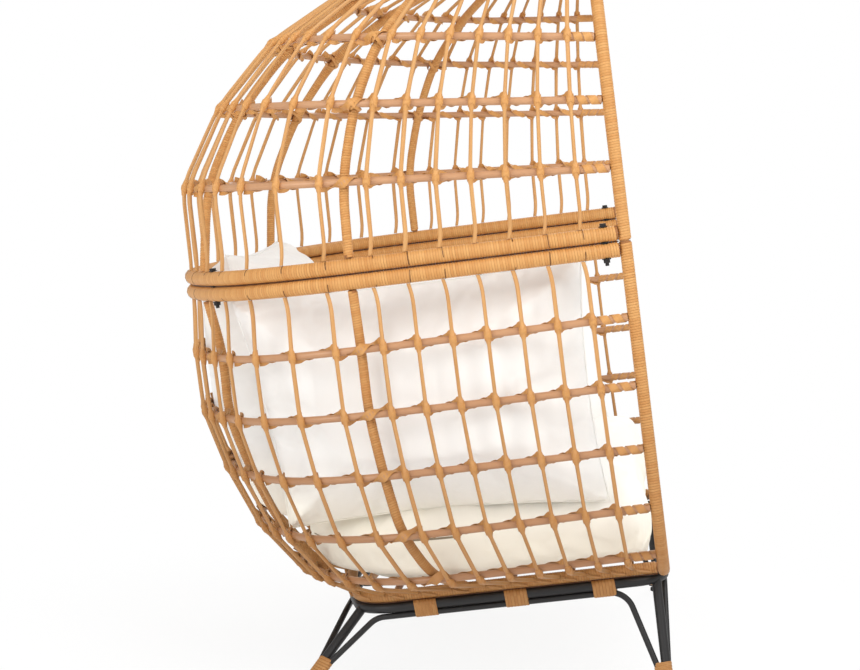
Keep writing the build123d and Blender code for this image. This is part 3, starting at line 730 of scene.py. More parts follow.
class Tone:
    """A value in a material's node tree; arithmetic on it adds Math nodes."""

    def __init__(self, finish, socket):
        self.finish = finish
        self.socket = socket

    def maths(self, operation, *values):
        inputs = dict(enumerate(values))
        return self.finish.add("ShaderNodeMath", {"operation": operation}, inputs)

    def __add__(self, other):
        return self.maths("ADD", self, other)

    __radd__ = __add__

    def __sub__(self, other):
        return self.maths("SUBTRACT", self, other)

    def __mul__(self, other):
        return self.maths("MULTIPLY", self, other)

    __rmul__ = __mul__

    def __truediv__(self, other):
        return self.maths("DIVIDE", self, other)

    def floor(self):
        return self.maths("FLOOR", self)

    def fract(self):
        return self.maths("FRACT", self)

    def absolute(self):
        return self.maths("ABSOLUTE", self)

    def wave(self):
        """A sine wave between 0 and 1."""
        return self.maths("SINE", self) * 0.5 + 0.5

    def clamped(self):
        return self.maths("MINIMUM", self.maths("MAXIMUM", self, 0.0), 1.0)


class Finish:
    """A procedural material; add() makes any node and returns one of its outputs."""

    def __init__(self, name):
        self.material = bpy.data.materials.new(name)
        self.material.use_nodes = True
        self.tree = self.material.node_tree
        self.shader = self.tree.nodes["Principled BSDF"]

    def add(self, kind, settings, inputs, output=0):
        node = self.tree.nodes.new(kind)
        for name, value in settings.items():
            setattr(node, name, value)
        for name, value in inputs.items():
            self.feed(node.inputs[name], value)
        return Tone(self, node.outputs[output])

    def feed(self, socket, value):
        if isinstance(value, Tone):
            self.tree.links.new(value.socket, socket)
        else:
            socket.default_value = value

    def set(self, **values):
        for name, value in values.items():
            words = name.replace("_", " ").title().replace("Ior", "IOR")
            self.feed(self.shader.inputs[words], value)

    def colour(self, factor, first, second):
        """Mix of two colours, each a value of the tree or a seen colour."""
        first, second = (item if isinstance(item, Tone) else linear(item) for item in (first, second))
        inputs = {0: factor, 6: first, 7: second}
        return self.add("ShaderNodeMix", {"data_type": "RGBA"}, inputs, 2)

    def between(self, value, low, high):
        """A value as a share of a range, smoothed at both ends."""
        settings = {"interpolation_type": "SMOOTHSTEP"}
        return self.add("ShaderNodeMapRange", settings, {0: value, 1: low, 2: high})

    def noise(self, vector, scale, detail):
        inputs = {"Vector": vector, "Scale": scale, "Detail": detail}
        return self.add("ShaderNodeTexNoise", {}, inputs)

    def streaks(self, vector, rates, detail):
        """Noise with its own rate along each axis."""
        inputs = {0: vector, 1: rates}
        scaled = self.add("ShaderNodeVectorMath", {"operation": "MULTIPLY"}, inputs)
        return self.noise(scaled, 1.0, detail)

    def bump(self, height, strength, distance):
        inputs = {"Strength": strength, "Distance": distance, "Height": height}
        self.set(normal=self.add("ShaderNodeBump", {}, inputs))

    def lay(self):
        """Coordinates of the straight template a wicker piece was bent from."""
        return self.add("ShaderNodeAttribute", {"attribute_name": "lay"}, {}, 1)

    def place(self):
        """Object coordinates."""
        return self.add("ShaderNodeTexCoord", {}, {}, 3)

    def shaded_to_base(self, colour):
        """A wicker colour with painted shade that darkens it towards the base."""
        height = self.parts(self.place())[2]
        low = self.between(height, SHADE_START_HEIGHT, SHADE_FULL_HEIGHT) * BASE_SHADE_SHARE
        return self.colour(low, colour, colours().strip_groove)

    def parts(self, vector):
        node = self.tree.nodes.new("ShaderNodeSeparateXYZ")
        self.feed(node.inputs[0], vector)
        return [Tone(self, output) for output in node.outputs]


def coil_finish(name, light, dark):
    """Wound strip: every turn has its own tone, fibres run around, dark lines part the turns."""
    look = Finish(name)
    lay = look.lay()
    x, y, z = look.parts(lay)
    angle = z.maths("ARCTAN2", z, y)
    across = x - angle / (2 * pi)
    turn = across.floor()
    own = look.add("ShaderNodeTexWhiteNoise", {"noise_dimensions": "1D"}, {"W": turn})
    fibre = look.streaks(lay, (7.0, 60.0, 60.0), detail=3.0)
    patch = look.streaks(lay, (0.05, 8.0, 8.0), detail=2.0)
    edge = (across.fract() - 0.5).absolute() * 2.0
    gap = look.between(edge, 0.80, 1.0)
    tone = (own * 0.45 + fibre * 0.55 + patch * 0.5 - 0.25).clamped()
    strip = look.colour(tone, dark, light)
    deep = gap * (0.42 + 0.55 * look.between(own, 0.72, 1.0))
    look.set(
        # Painted shade darkens the strip towards the base
        base_color=look.shaded_to_base(look.colour(deep, strip, colours().strip_groove)),
        roughness=0.40 + fibre * 0.22 + gap * 0.2,
        specular_ior_level=0.42,
    )
    look.bump(fibre * 0.5 - gap * 0.5, strength=0.35, distance=0.0006)
    return look.material


def reed_finish(name, light, dark, rates):
    """Round reed or flat tie: long fibres along its length, slow changes of tone."""
    look = Finish(name)
    lay = look.lay()
    fibre = look.streaks(lay, rates, detail=3.0)
    slow = look.streaks(lay, (9.0, 9.0, 9.0), detail=2.0)
    speck = look.streaks(lay, (160.0, 420.0, 420.0), detail=1.0)
    tone = (fibre * 0.7 + slow * 0.8 - 0.25).clamped()
    body = look.colour(tone, dark, light)
    fleck = look.between(speck, 0.66, 0.80) * 0.14
    look.set(
        # Painted shade darkens the reed towards the base
        base_color=look.shaded_to_base(look.colour(fleck, body, colours().strip_groove)),
        roughness=0.36 + fibre * 0.25,
        specular_ior_level=0.45,
    )
    look.bump(fibre, strength=0.25, distance=0.0005)
    return look.material


def hoop_finish():
    """Smooth peeled rods, pinkish tan with faint clouds and a satin face."""
    look = Finish("hoop_rod")
    place = look.place()
    cloud = look.noise(place, scale=14.0, detail=3.0)
    grain = look.streaks(place, (90.0, 90.0, 420.0), detail=3.0)
    tone = (cloud * 0.8 + grain * 0.5 - 0.2).clamped()
    rod = look.colour(tone, colours().hoop_dark, colours().hoop_light)
    look.set(
        # Painted shade darkens the hoop towards the base
        base_color=look.shaded_to_base(rod),
        roughness=0.26 + grain * 0.2,
        specular_ior_level=0.5,
    )
    look.bump(grain, strength=0.15, distance=0.0004)
    return look.material


def steel_finish(name, steel, roughness, grit):
    """Coated steel with a fine grit and slightly worn gloss."""
    look = Finish(name)
    place = look.place()
    grain = look.noise(place, scale=grit, detail=2.0)
    cloud = look.noise(place, scale=11.0, detail=2.0)
    worn = [min(1.0, channel * WORN) for channel in steel]
    look.set(
        base_color=look.colour((cloud * 0.7 + grain * 0.3).clamped(), steel, worn),
        roughness=roughness + cloud * 0.16 + grain * 0.10,
        specular_ior_level=0.5,
    )
    look.bump(grain, strength=0.22, distance=0.0004)
    return look.material


def rubber_finish():
    """Matt black glides."""
    look = Finish("glide_rubber")
    grain = look.noise(look.place(), scale=900.0, detail=2.0)
    look.set(
        base_color=look.colour(grain, RUBBER_DARK, RUBBER_LIGHT),
        roughness=0.7 + grain * 0.15,
    )
    look.bump(grain, strength=0.3, distance=0.0003)
    return look.material


def canvas_finish():
    """Cream canvas: crossing threads, slubs and faint clouds, and painted warm light off the wicker
    low in the nest.
    """
    look = Finish("canvas")
    place = look.place()
    x, y, z = look.parts(place)
    warp = (y * THREAD_RATE).wave()
    weft = (z * THREAD_RATE + x * THREAD_RATE).wave()
    slub = look.streaks(place, (60.0, 420.0, 60.0), detail=3.0)
    cloud = look.noise(place, scale=6.0, detail=3.0)
    thread = warp * weft
    tone = (thread * 0.35 + slub * 0.35 + cloud * 0.6 - 0.1).clamped()
    cloth = look.colour(tone, colours().canvas_shade, colours().canvas)
    # Painted light: the canvas low in the nest takes the warm light off the wicker
    low = look.between(z, WHITE_HEIGHT, WARM_HEIGHT)
    look.set(
        base_color=look.colour(low * BOUNCE_LIGHT_SHARE, cloth, colours().canvas_bounce_light),
        roughness=0.82 + slub * 0.12,
        sheen_weight=0.12,
        specular_ior_level=0.2,
    )
    look.bump(thread * 0.6 + slub * 0.4, strength=0.25, distance=0.0006)
    return look.material


def zip_finish():
    """Dark tape and teeth of a zip."""
    look = Finish("zip")
    along = look.parts(look.lay())[0]
    teeth = (along * TEETH_RATE).wave()
    look.set(
        base_color=look.colour(teeth, ZIP_DARK, ZIP_LIGHT),
        roughness=0.5 + teeth * 0.2,
    )
    look.bump(teeth, strength=0.4, distance=0.0004)
    return look.material


# Rates of the fibres along and across each kind of reed or strip
FIBRE_RATES = {
    # cord: the gap cords and the ring slits, dark as painted shade
    "cord": (300.0, 700.0, 700.0),
    "reed": (18.0, 700.0, 700.0),
    "tie": (30.0, 800.0, 200.0),
}
WICKER = {}


def wicker(kind):
    """The wicker finishes, each made once."""
    if kind not in WICKER:
        seen = colours()
        own_tones = {
            # The cord tones are painted shade of the gaps and slits
            "cord": (seen.strip_groove, seen.gap_shade_dark),
            "reed": (seen.reed_light, seen.reed_dark),
        }
        light, dark = own_tones.get(kind, (seen.strip_light, seen.strip_dark))
        if kind == "coil":
            WICKER[kind] = coil_finish("wicker_coil", light, dark)
        else:
            WICKER[kind] = reed_finish("wicker_" + kind, light, dark, FIBRE_RATES[kind])
    return WICKER[kind]


def lay_gap_shade_cord(name, route):
    """Dark cord along a route between two tubes, closing the gap there; its dark colour is painted
    shade of the gap.
    """
    template = rod_template(steps=160, sides=6)
    piece = Piece(name)

    def place(straight):
        distance = max(0.0, straight.x) * route.length
        point, way = route.at(distance)
        first, second = upright_frame(way, UP)
        drawn = Vector((distance, straight.y * CORD_RADIUS, straight.z * CORD_RADIUS))
        return point + (first * straight.y + second * straight.z) * CORD_RADIUS, drawn

    piece.append(template, place)
    piece.finish(wicker("cord"), "wicker_binding")
    bpy.data.meshes.remove(template)


class NEST_OT_wind_tubes(bpy.types.Operator):
    """Winds flat strip on the rim, the rings and the ribs"""

    bl_idname = "nest.wind_tubes"
    bl_label = "Wind Tubes"

    def execute(self, context):
        tubes = (
            ("dome_arch", arch_route(), RIM_RADIUS, sizes().rim_pitch, -BACK),
            ("bowl_rim", sill_route(), RIM_RADIUS, sizes().rim_pitch, -BACK),
            ("dome_ring", nest_route(RING_LEVEL, RING_LEVEL, WAIST_DEPTH, BUTT), RING_RADIUS,
             sizes().ring_pitch, -UP),
            ("bowl_ring", nest_route(-RING_LEVEL, -RING_LEVEL, WAIST_DEPTH, BUTT), RING_RADIUS,
             sizes().ring_pitch, UP),
            ("seat_ring", seat_route(BUTT), RIM_RADIUS, sizes().ring_pitch, UP),
        )
        for name, route, radius, pitch, hidden in tubes:
            piece = Piece(name + "_winding")
            wind(piece, route, [((0.0, 0.0), radius)], pitch, always(-hidden))
            piece.finish(wicker("coil"), "wicker_wrap", name + "_wrap")
        # Dark cords close the waist gap and the gap under the seat ring: painted shade of those gaps
        lay_gap_shade_cord("waist_gap_shade", nest_route(0.0, 0.0, WAIST_DEPTH, BUTT))
        gap = SEAT_BOARD.lifted(-RIM_RADIUS - (BAND_WRAP + FIT) / 2)
        lay_gap_shade_cord("base_gap_shade", seat_route(BUTT, gap))
        for shell in SHELLS:
            piece = Piece(shell + "_rib_windings")
            for share in RIB_SHARES:
                route = upright_route(shell, share, RIB_RADIUS, -1)
                wind(piece, route, [((0.0, 0.0), RIB_RADIUS)], sizes().rib_pitch, from_axis)
            piece.finish(wicker("coil"), "wicker_wrap", shell + "_rib_wraps")
        return {"FINISHED"}


class NEST_OT_lay_strands(bpy.types.Operator):
    """Lays the round reeds that rise over the hoops"""

    bl_idname = "nest.lay_strands"
    bl_label = "Lay Strands"

    def execute(self, context):
        template = rod_template(steps=72, sides=8)
        for shell in SHELLS:
            for bay, shares in strand_shares().items():
                piece = Piece(f"{shell}_reeds_{bay}")
                for share in shares:
                    route = upright_route(shell, share, STRAND_RADIUS, 1)
                    self.reed(piece, template, route, share, shell == "dome")
                piece.finish(wicker("reed"), "wicker_strand", f"{shell}_strands_{bay}")
        bpy.data.meshes.remove(template)
        return {"FINISHED"}

    def reed(self, piece, template, route, share, dome):
        """One reed, a little flat and slowly twisting, hooked where it goes into the waist ring."""
        hand = HOOK if share < 0.5 else -HOOK

        def place(straight):
            distance = straight.x * route.length
            point, way = route.at(distance)
            first, second = upright_frame(way, from_axis(point))
            near = distance if dome else route.length - distance
            bend = max(0.0, 1 - near / HOOK_RUN)
            point = point + second * (hand * bend * bend)
            twist = REED_TWIST * distance + TWIST_BY_SHARE * share
            flat = 1.0 + REED_FLAT * cos(2 * atan2(straight.z, straight.y) + twist)
            wave = 1.0 + REED_WAVE * sin(WAVE_RATE * distance + WAVE_BY_SHARE * share)
            thick = STRAND_RADIUS * flat * wave
            drawn = Vector((distance, straight.y * STRAND_RADIUS, straight.z * STRAND_RADIUS))
            return point + (first * straight.y + second * straight.z) * thick, drawn

        piece.append(template, place)


def lay_ribbon(piece, template, path, width, thickness, waist=1.0):
    """Lays a flat strip along path(share), which gives a point and where the strip's face looks.

    The strip narrows to the waist share of its width halfway along.
    """
    marks = [path(number / RIBBON_PIECES)[0] for number in range(RIBBON_PIECES + 1)]
    length = sum((after - before).length for before, after in zip(marks, marks[1:]))

    def place(straight):
        point, face = path(straight.x)
        ahead = path(min(1.0, straight.x + RIBBON_STEP))[0]
        behind = path(max(0.0, straight.x - RIBBON_STEP))[0]
        way = (ahead - behind).normalized()
        side = face.cross(way).normalized()
        face = way.cross(side)
        reach = straight.y * width * (waist + (1 - waist) * abs(2 * straight.x - 1))
        drawn = Vector((straight.x * length, reach, straight.z * thickness))
        return point + side * reach + face * (straight.z * thickness), drawn

    piece.append(template, place)


# Knots: a lens on the strand with two strips crossed over it
KNOT_SWELL = 0.0030
KNOT_POWER = 1.6
KNOT_DRAWN_RADIUS = 0.004
CROSS_TURN = radians(105.0)
CROSS_HEIGHT = 0.0074
CROSS_WIDTH = 0.0044
CROSS_SINK = 0.0005

# Ties: strips that run behind the hoop and lift off as wings beside each knot
WING_ANGLE = radians(74.0)
WING_START = 0.30
UPPER_WING = 0.0030
LOWER_WING = -0.0004
TIE_WAIST = 0.72
TIE_LIFT = 0.0004

# Ties that go over a rib as a band
BAND_TURN = radians(130.0)
BAND_SHARE = 0.75
BAND_WIDENING = 1.3

# Crossed loops around a hoop and a rib, at these hoops
LASHED = (("dome", 2), ("dome", 3))
LASH_WIDTH = 0.0056
LASH_REACH = 0.0157
LASH_INSET = 0.0082
LASH_HALF_HEIGHT = 0.0126

# Spirals on the last stretch of a hoop
END_TURNS = 2.5
END_WIDTH = 0.0125
END_START = 0.10
END_LIFT = 0.0003

# Slits in the waist rings, drawn as dark strips of painted shade; their length varies with the share
SLIT_TURN = radians(84.0)
SLIT_MEAN = 0.9
SLIT_SPREAD = 0.8
SLIT_SEED = 977.0
SLIT_SLANT = 0.0006
SLIT_LIFT = 0.0001
SLIT_WIDTH = 0.0011
SLIT_THICKNESS = 0.0003

# Tails of the strands along the seat ring
TAIL_LENGTH = 0.026
TAIL_CURVE = 1.4
TAIL_DROP = 0.7
TAIL_TAPER = 0.45
TAIL_STAND = 0.9
TAIL_SINK = 0.5


class NEST_OT_tie_hoops(bpy.types.Operator):
    """Ties the strands, the ribs and the rim to the hoops"""

    bl_idname = "nest.tie_hoops"
    bl_label = "Tie Hoops"

    def execute(self, context):
        self.strip = ribbon_template(steps=16)
        self.cross = ribbon_template(steps=8)
        self.loop = ribbon_template(steps=20)
        self.bead = rod_template(steps=6, sides=8)
        shares = sorted(share for bay in strand_shares().values() for share in bay)
        for shell, lines in SHELLS.items():
            knots = Piece(shell + "_knots")
            ties = Piece(shell + "_ties")
            for number in range(1, len(lines) - 1):
                for share in shares:
                    self.knot(knots, Crossing(lines, number, share))
                for span in zip(shares, shares[1:]):
                    self.tie(ties, lines, number, span)
                if (shell, number) in LASHED:
                    for share in RIB_SHARES:
                        self.lash(ties, Crossing(lines, number, share))
                stop = BUTT / lines[number].length
                self.end_wrap(ties, lines, number, shares[0], stop)
                self.end_wrap(ties, lines, number, shares[-1], 1 - stop)
            for piece in (knots, ties):
                piece.finish(wicker("tie"), "wicker_binding")
        # Dark strips of painted shade where the strands go into the waist rings
        slits = Piece("ring_slit_shades")
        for line in (DOME_LINES[0], BOWL_LINES[-1]):
            for share in shares:
                self.slit(slits, line, share)
        slits.finish(wicker("cord"), "wicker_binding")
        tails = Piece("bowl_tails")
        for share in shares:
            self.tail(tails, share)
        tails.finish(wicker("reed"), "wicker_strand")
        for template in (self.strip, self.cross, self.loop, self.bead):
            bpy.data.meshes.remove(template)
        return {"FINISHED"}

    def knot(self, piece, mark):
        """A lens on the strand with two strips crossed over it."""
        length = sizes().knot_length
        centre = mark.beside(HOOP_RADIUS + STRAND_RADIUS)
        side = mark.upright.cross(mark.out)

        def thickness(bow):
            return STRAND_RADIUS + KNOT_SWELL * max(0.0, 1 - bow * bow) ** KNOT_POWER

        def swelling(straight):
            bow = 2 * straight.x - 1
            around = side * straight.y + mark.out * straight.z
            drawn = straight * KNOT_DRAWN_RADIUS
            drawn.x = straight.x * length
            return centre + mark.upright * (bow * length / 2) + around * thickness(bow), drawn

        piece.append(self.bead, swelling)
        for hand in (-1, 1):

            def path(share, hand=hand):
                bow = 2 * share - 1
                angle = hand * bow * CROSS_TURN
                height = bow * CROSS_HEIGHT
                look = mark.out * cos(angle) + side * sin(angle)
                radius = thickness(2 * height / length) - CROSS_SINK
                return centre + mark.upright * height + look * radius, look

            lay_ribbon(piece, self.cross, path, CROSS_WIDTH, sizes().tie_thickness)

    def tie(self, piece, lines, number, span):
        """Strip from under one knot, behind the hoop or over a rib, to above the next."""
        first, last = span
        ribbed = any(first < share < last for share in RIB_SHARES)

        def path(share):
            mark = Crossing(lines, number, first + (last - first) * share)
            bow = 2 * share - 1
            reach = abs(bow)
            angle = pi - (pi - WING_ANGLE) * reach
            if ribbed:
                climb = BAND_TURN * sin(pi / 2 * min(1.0, reach / BAND_SHARE))
                fall = max(0.0, reach - BAND_SHARE) / (1 - BAND_SHARE)
                angle = climb - (BAND_TURN - WING_ANGLE) * fall
            angle = angle if bow > 0 else -angle
            wing = max(0.0, reach - WING_START) / (1 - WING_START)
            lift = (UPPER_WING if bow > 0 else LOWER_WING) * wing
            look = mark.out * cos(angle) + mark.rise * sin(angle)
            point = mark.point + look * (HOOP_RADIUS + TIE_LIFT + lift)
            return point, look * (1 - wing) + mark.out * wing

        width = sizes().tie_width * (BAND_WIDENING if ribbed else 1.0)
        waist = 1.0 if ribbed else TIE_WAIST
        lay_ribbon(piece, self.strip, path, width, sizes().tie_thickness, waist)

    def lash(self, piece, mark):
        """Two slanting loops around a hoop and the rib inside it."""
        for hand in (-1, 1):
            slant = (mark.along * hand + mark.rise).normalized()

            def path(share, slant=slant):
                turn = 2 * pi * share + pi
                point = mark.beside(LASH_REACH * cos(turn) - LASH_INSET)
                point = point + slant * (LASH_HALF_HEIGHT * sin(turn))
                return point, mark.out * cos(turn) + slant * sin(turn)

            lay_ribbon(piece, self.loop, path, LASH_WIDTH, sizes().tie_thickness)

    def end_wrap(self, piece, lines, number, share, stop):
        """Strip that spirals from the last strand of a hoop to its stop at the rim."""

        def path(part):
            along = END_START + (1 - END_START) * part
            mark = Crossing(lines, number, share + (stop - share) * along)
            angle = -pi / 2 - END_TURNS * 2 * pi * part
            look = mark.out * cos(angle) + mark.rise * sin(angle)
            return mark.point + look * (HOOP_RADIUS + END_LIFT), look

        lay_ribbon(piece, self.loop, path, END_WIDTH, sizes().tie_thickness)

    def slit(self, piece, line, share):
        """Dark strip across a waist ring where a strand goes in, as painted shade of the slit."""
        hand = -1 if line is DOME_LINES[0] else 1
        length = SLIT_TURN * (SLIT_MEAN + SLIT_SPREAD * sin(SLIT_SEED * share))

        def path(part):
            turn = hand * (SLIT_TURN - length * part)
            point, way = line.share(share + SLIT_SLANT * part)
            out, rise = upright_frame(way, from_axis(point))
            look = out * cos(turn) + rise * sin(turn)
            return point + look * (RING_RADIUS + SLIT_LIFT), look

        lay_ribbon(piece, self.cross, path, SLIT_WIDTH, SLIT_THICKNESS)

    def tail(self, piece, share):
        """End of a strand that bends forward along the seat ring."""
        ring = BOWL_LINES[0]
        foot = upright_route("bowl", share, STRAND_RADIUS, 1).at(0.0)[0]
        out = (foot - ring.share(share)[0]).normalized()
        ahead = (-1 if share < 0.5 else 1) * TAIL_LENGTH / ring.length

        def place(straight):
            part = max(0.0, straight.x)
            point, way = ring.share(share + ahead * part ** TAIL_CURVE)
            look = (out - UP * (TAIL_DROP * part)).normalized()
            look, rise = upright_frame(way, look)
            thick = STRAND_RADIUS * (1.0 - TAIL_TAPER * part)
            reach = RIM_RADIUS + FIT + thick * (TAIL_STAND - TAIL_SINK * part)
            around = look * (straight.y * thick) + rise * (straight.z * thick)
            lean = way * (straight.z * thick * (1 - part))
            drawn = Vector((part * TAIL_LENGTH, straight.y * thick, straight.z * thick))
            return point + look * reach + around + lean, drawn

        piece.append(self.bead, place)


# Feet and braces, the same as in the part's source
BASE_DROP = RIM_RADIUS + BASE_RADIUS + BAND_WRAP + FIT
BRACE_DROP = BASE_RADIUS + BRACE_RADIUS + FIT
BASE_FRONT_CORNER = 0.045
FOOT_X = 0.400
FOOT_FRONT = -0.079
FOOT_REAR = 0.515
REAR_LEG_TURN = 0.75
BRACE_FRONT_INSET = 0.020
BRACE_REAR_INSET = 0.030
BRACE_REAR_SHARE = 0.6
BRACE_SIDE_START = 0.020
BRACE_SIDE_END = 0.034
GLIDE_HEIGHT = 0.007
FOOT_WRAP_RISE = 0.004
BASE_BOARD = SEAT_BOARD.lifted(-BASE_DROP)
BRACE_BOARD = BASE_BOARD.lifted(-BRACE_DROP)


class NEST_OT_bind_base(bpy.types.Operator):
    """Winds the wicker bands of the base and the feet"""

    bl_idname = "nest.bind_base"
    bl_label = "Bind Base"

    def execute(self, context):
        ring = ((0.0, 0.0), BASE_RADIUS + BAND_WRAP)
        brace = ((0.0, BRACE_DROP), BRACE_RADIUS + BAND_WRAP)
        bands = Piece("base_bands")
        half = BAND_WIDTH / 2
        for side in (1, -1):
            for along in SIDE_BANDS:
                x = side * SEAT_HALF_WIDTH
                route = Route([BASE_BOARD.line((x, along - half), (x, along + half))])
                wind(bands, route, [ring, brace], sizes().band_pitch, always(ACROSS))
        for across in CROSS_BANDS:
            route = Route([BASE_BOARD.line((across - half, BASE_FRONT), (across + half, BASE_FRONT))])
            wind(bands, route, [ring, brace], sizes().band_pitch, always(-BASE_BOARD.slope))
        bands.finish(wicker("coil"), "wicker_binding", "base_bindings")
        feet = Piece("foot_bands")
        for side in (1, -1):
            for front in (True, False):
                self.foot(feet, side, front)
        feet.finish(wicker("coil"), "wicker_binding", "foot_bindings")
        return {"FINISHED"}

    def foot(self, piece, side, front):
        """Winding around one leg and the two braces that come down beside it."""
        inner = SEAT_HALF_WIDTH - BASE_FRONT_CORNER
        corner_v = BASE_FRONT + BASE_FRONT_CORNER
        tip = BASE_FRONT_CORNER * sin(pi / 4)
        turn = SEAT_TURN * REAR_LEG_TURN
        rear_x = SEAT_HALF_WIDTH - SEAT_CORNER + SEAT_CORNER * cos(turn)
        rear_v = SEAT_STRAIGHT + SEAT_CORNER * sin(turn)
        x, v = (inner + tip, corner_v - tip) if front else (rear_x, rear_v)
        top = BASE_BOARD.point(side * x, v)
        ground = Vector((side * FOOT_X, BODY.y + (FOOT_FRONT if front else FOOT_REAR), 0.0))
        rough = (top - ground).normalized()
        end = ground + Vector((0, 0, GLIDE_HEIGHT + FIT + LEG_RADIUS * sqrt(1 - rough.z ** 2)))
        axis = (top - end).normalized()
        run_x = SEAT_HALF_WIDTH - SEAT_CORNER - BRACE_REAR_INSET
        run_v = SEAT_DEPTH - SEAT_REAR_ARC + sqrt(SEAT_REAR_ARC ** 2 - (run_x * BRACE_REAR_SHARE) ** 2)
        side_v = corner_v + BRACE_SIDE_START if front else SEAT_STRAIGHT + BRACE_SIDE_END
        cross = (side * (inner - BRACE_FRONT_INSET), BASE_FRONT) if front else (side * run_x, run_v)
        targets = (BRACE_BOARD.point(side * SEAT_HALF_WIDTH, side_v), BRACE_BOARD.point(*cross))
        first, second = upright_frame(axis, ACROSS)
        circles = [((0.0, 0.0), LEG_RADIUS + BAND_WRAP)]
        for target in targets:
            towards = target - end
            beside = (towards - axis * towards.dot(axis)).normalized()
            beside = beside * (LEG_RADIUS + BRACE_RADIUS + FIT)
            spot = (beside.dot(first), beside.dot(second))
            circles.append((spot, BRACE_RADIUS + BAND_WRAP))
        start = end + axis * FOOT_WRAP_RISE
        route = Route([Straight(start, start + axis * FOOT_WRAP)])
        wind(piece, route, circles, sizes().band_pitch, always(ACROSS))


# Cushions, the same as in the part's source
SIDE_PILLOW_X = 0.398
SIDE_PILLOW_V = 0.340
SIDE_PILLOW_U = -0.2187
SIDE_PILLOW_LENGTH = 0.540
SIDE_PILLOW_HEIGHT = 0.395
SIDE_PILLOW_SWELL = 0.072
SIDE_PILLOW_FLARE = 0.052
SIDE_YAW = radians(7.5)
BACK_PILLOW_V = 0.638
BACK_PILLOW_U = -0.1875
BACK_PILLOW_LENGTH = 0.520
BACK_PILLOW_HEIGHT = 0.472
BACK_PILLOW_SWELL = 0.084
BACK_RECLINE = radians(9.0)
PILLOW_DRAW = 0.013
SEAT_PAD_HALF_WIDTH = 0.436
SEAT_PAD_BACK = 0.620
SEAT_PAD_CORNER = 0.300
SEAT_PAD_FRONT = 0.012

# Pillow covers: mesh, held seam, share of the CAD thickness before filling, filling and welt
PILLOW_VOXEL = 0.0068
SEAM_HELD = 0.004
PILLOW_START = 0.90
PILLOW_PRESSURE = 4.0
PILLOW_GROWTH = 0.024
PILLOW_FILL = 0.75
WELT_RADIUS = 0.0014
WELT_DRAWN_LENGTH = 2.0
WELT_STEP = 0.001

# Back pillow: how far its rear swells, the room it keeps to the hoops, and the search for them
BACK_PILLOW_BULGE = 0.044
COVER_ROOM = 0.0030
REAR_SHARES = (0.25, 0.75)
REAR_HALVINGS = 10

# Seat cover: mesh, fuller front, held underside and filling
SEAT_VOXEL = 0.0095
SEAT_FRONT_RUN = 0.130
SEAT_FRONT_FILL = 0.75
SEAT_FRONT_POWER = 0.5
SEAT_HELD_BELOW = -0.8
SEAT_PRESSURE = 3.0
SEAT_GROWTH = 0.012
SEAT_FILL = 0.85

# Cloth of all covers
CLOTH = {
    "quality": 3,
    "mass": 0.3,
    "tension_stiffness": 12.0,
    "compression_stiffness": 12.0,
    "shear_stiffness": 4.0,
    "bending_stiffness": 0.4,
    "shrink_min": -0.02,
    "use_pressure": True,
    "vertex_group_mass": "held",
}

# Crease under a pillow's top edge, and the slow folds below it
CREASE_FRONT = 0.020
CREASE_REAR = 0.036
CREASE_DEPTH = 0.0050
CREASE_WIDTH = 0.0075
CREASE_WAVE = 0.004
CREASE_WAVE_RATE = 23.0
CREASE_FREE = 0.02
FOLD_DEPTH = 0.0042
FOLD_LEAN = 0.25
FOLD_RATE_ACROSS = 17.0
FOLD_RATE_UP = 3.5
FOLD_SEED = 40.0

# Zip on the side of the seat cushion
ZIP_LEVEL = 0.090
ZIP_TURN = radians(68.0)
ZIP_OPEN = 0.26
ZIP_OPEN_WIDTH = 0.0034
ZIP_SHUT_WIDTH = 0.0018
ZIP_THICKNESS = 0.0006


class Pillow:
    """Place and size of one knife-edge pillow."""

    def __init__(self, name, centre, along, facing, length, height, swell, flare=0.0, bulge=0.0):
        self.name = name
        self.centre = centre
        self.along = along.normalized()
        self.facing = facing.normalized()
        self.rising = self.facing.cross(self.along)
        self.length = length
        self.height = height
        self.swell = swell
        self.flare = flare
        self.bulge = bulge

    def local(self, point):
        arm = point - self.centre
        return Vector((arm.dot(self.along), arm.dot(self.rising), arm.dot(self.facing)))

    def world(self, local):
        return self.centre + self.along * local.x + self.rising * local.y + self.facing * local.z

    def seam(self, share):
        """Point on the seam line, a share of the way round."""
        side = min(3, int(share * 4))
        bow = 2 * (share * 4 - side) - 1
        draw = PILLOW_DRAW * (1 - bow * bow)
        half_length = self.length / 2
        half_height = self.height / 2
        points = (
            (bow * half_length, draw - half_height),
            (half_length - draw + self.flare * (bow + 1) / 2, bow * half_height),
            (self.flare / 2 - bow * (half_length + self.flare / 2), half_height - draw),
            (draw - half_length, -bow * half_height),
        )
        return self.world(Vector((*points[side], 0.0)))


def pillows():
    """The three pillows, where the part's source puts them."""
    found = []
    for name, side in (("pillow_left", 1), ("pillow_right", -1)):
        along = BACK * cos(SIDE_YAW) - ACROSS * (side * sin(SIDE_YAW))
        centre = BODY + ACROSS * (side * SIDE_PILLOW_X) + BACK * SIDE_PILLOW_V + UP * SIDE_PILLOW_U
        found.append(Pillow(
            name, centre, along, along.cross(UP), SIDE_PILLOW_LENGTH, SIDE_PILLOW_HEIGHT,
            SIDE_PILLOW_SWELL, SIDE_PILLOW_FLARE))
    facing = UP * sin(BACK_RECLINE) - BACK * cos(BACK_RECLINE)
    centre = BODY + BACK * BACK_PILLOW_V + UP * BACK_PILLOW_U
    found.append(Pillow(
        "pillow_back", centre, ACROSS, facing, BACK_PILLOW_LENGTH, BACK_PILLOW_HEIGHT,
        BACK_PILLOW_SWELL, bulge=BACK_PILLOW_BULGE))
    return found


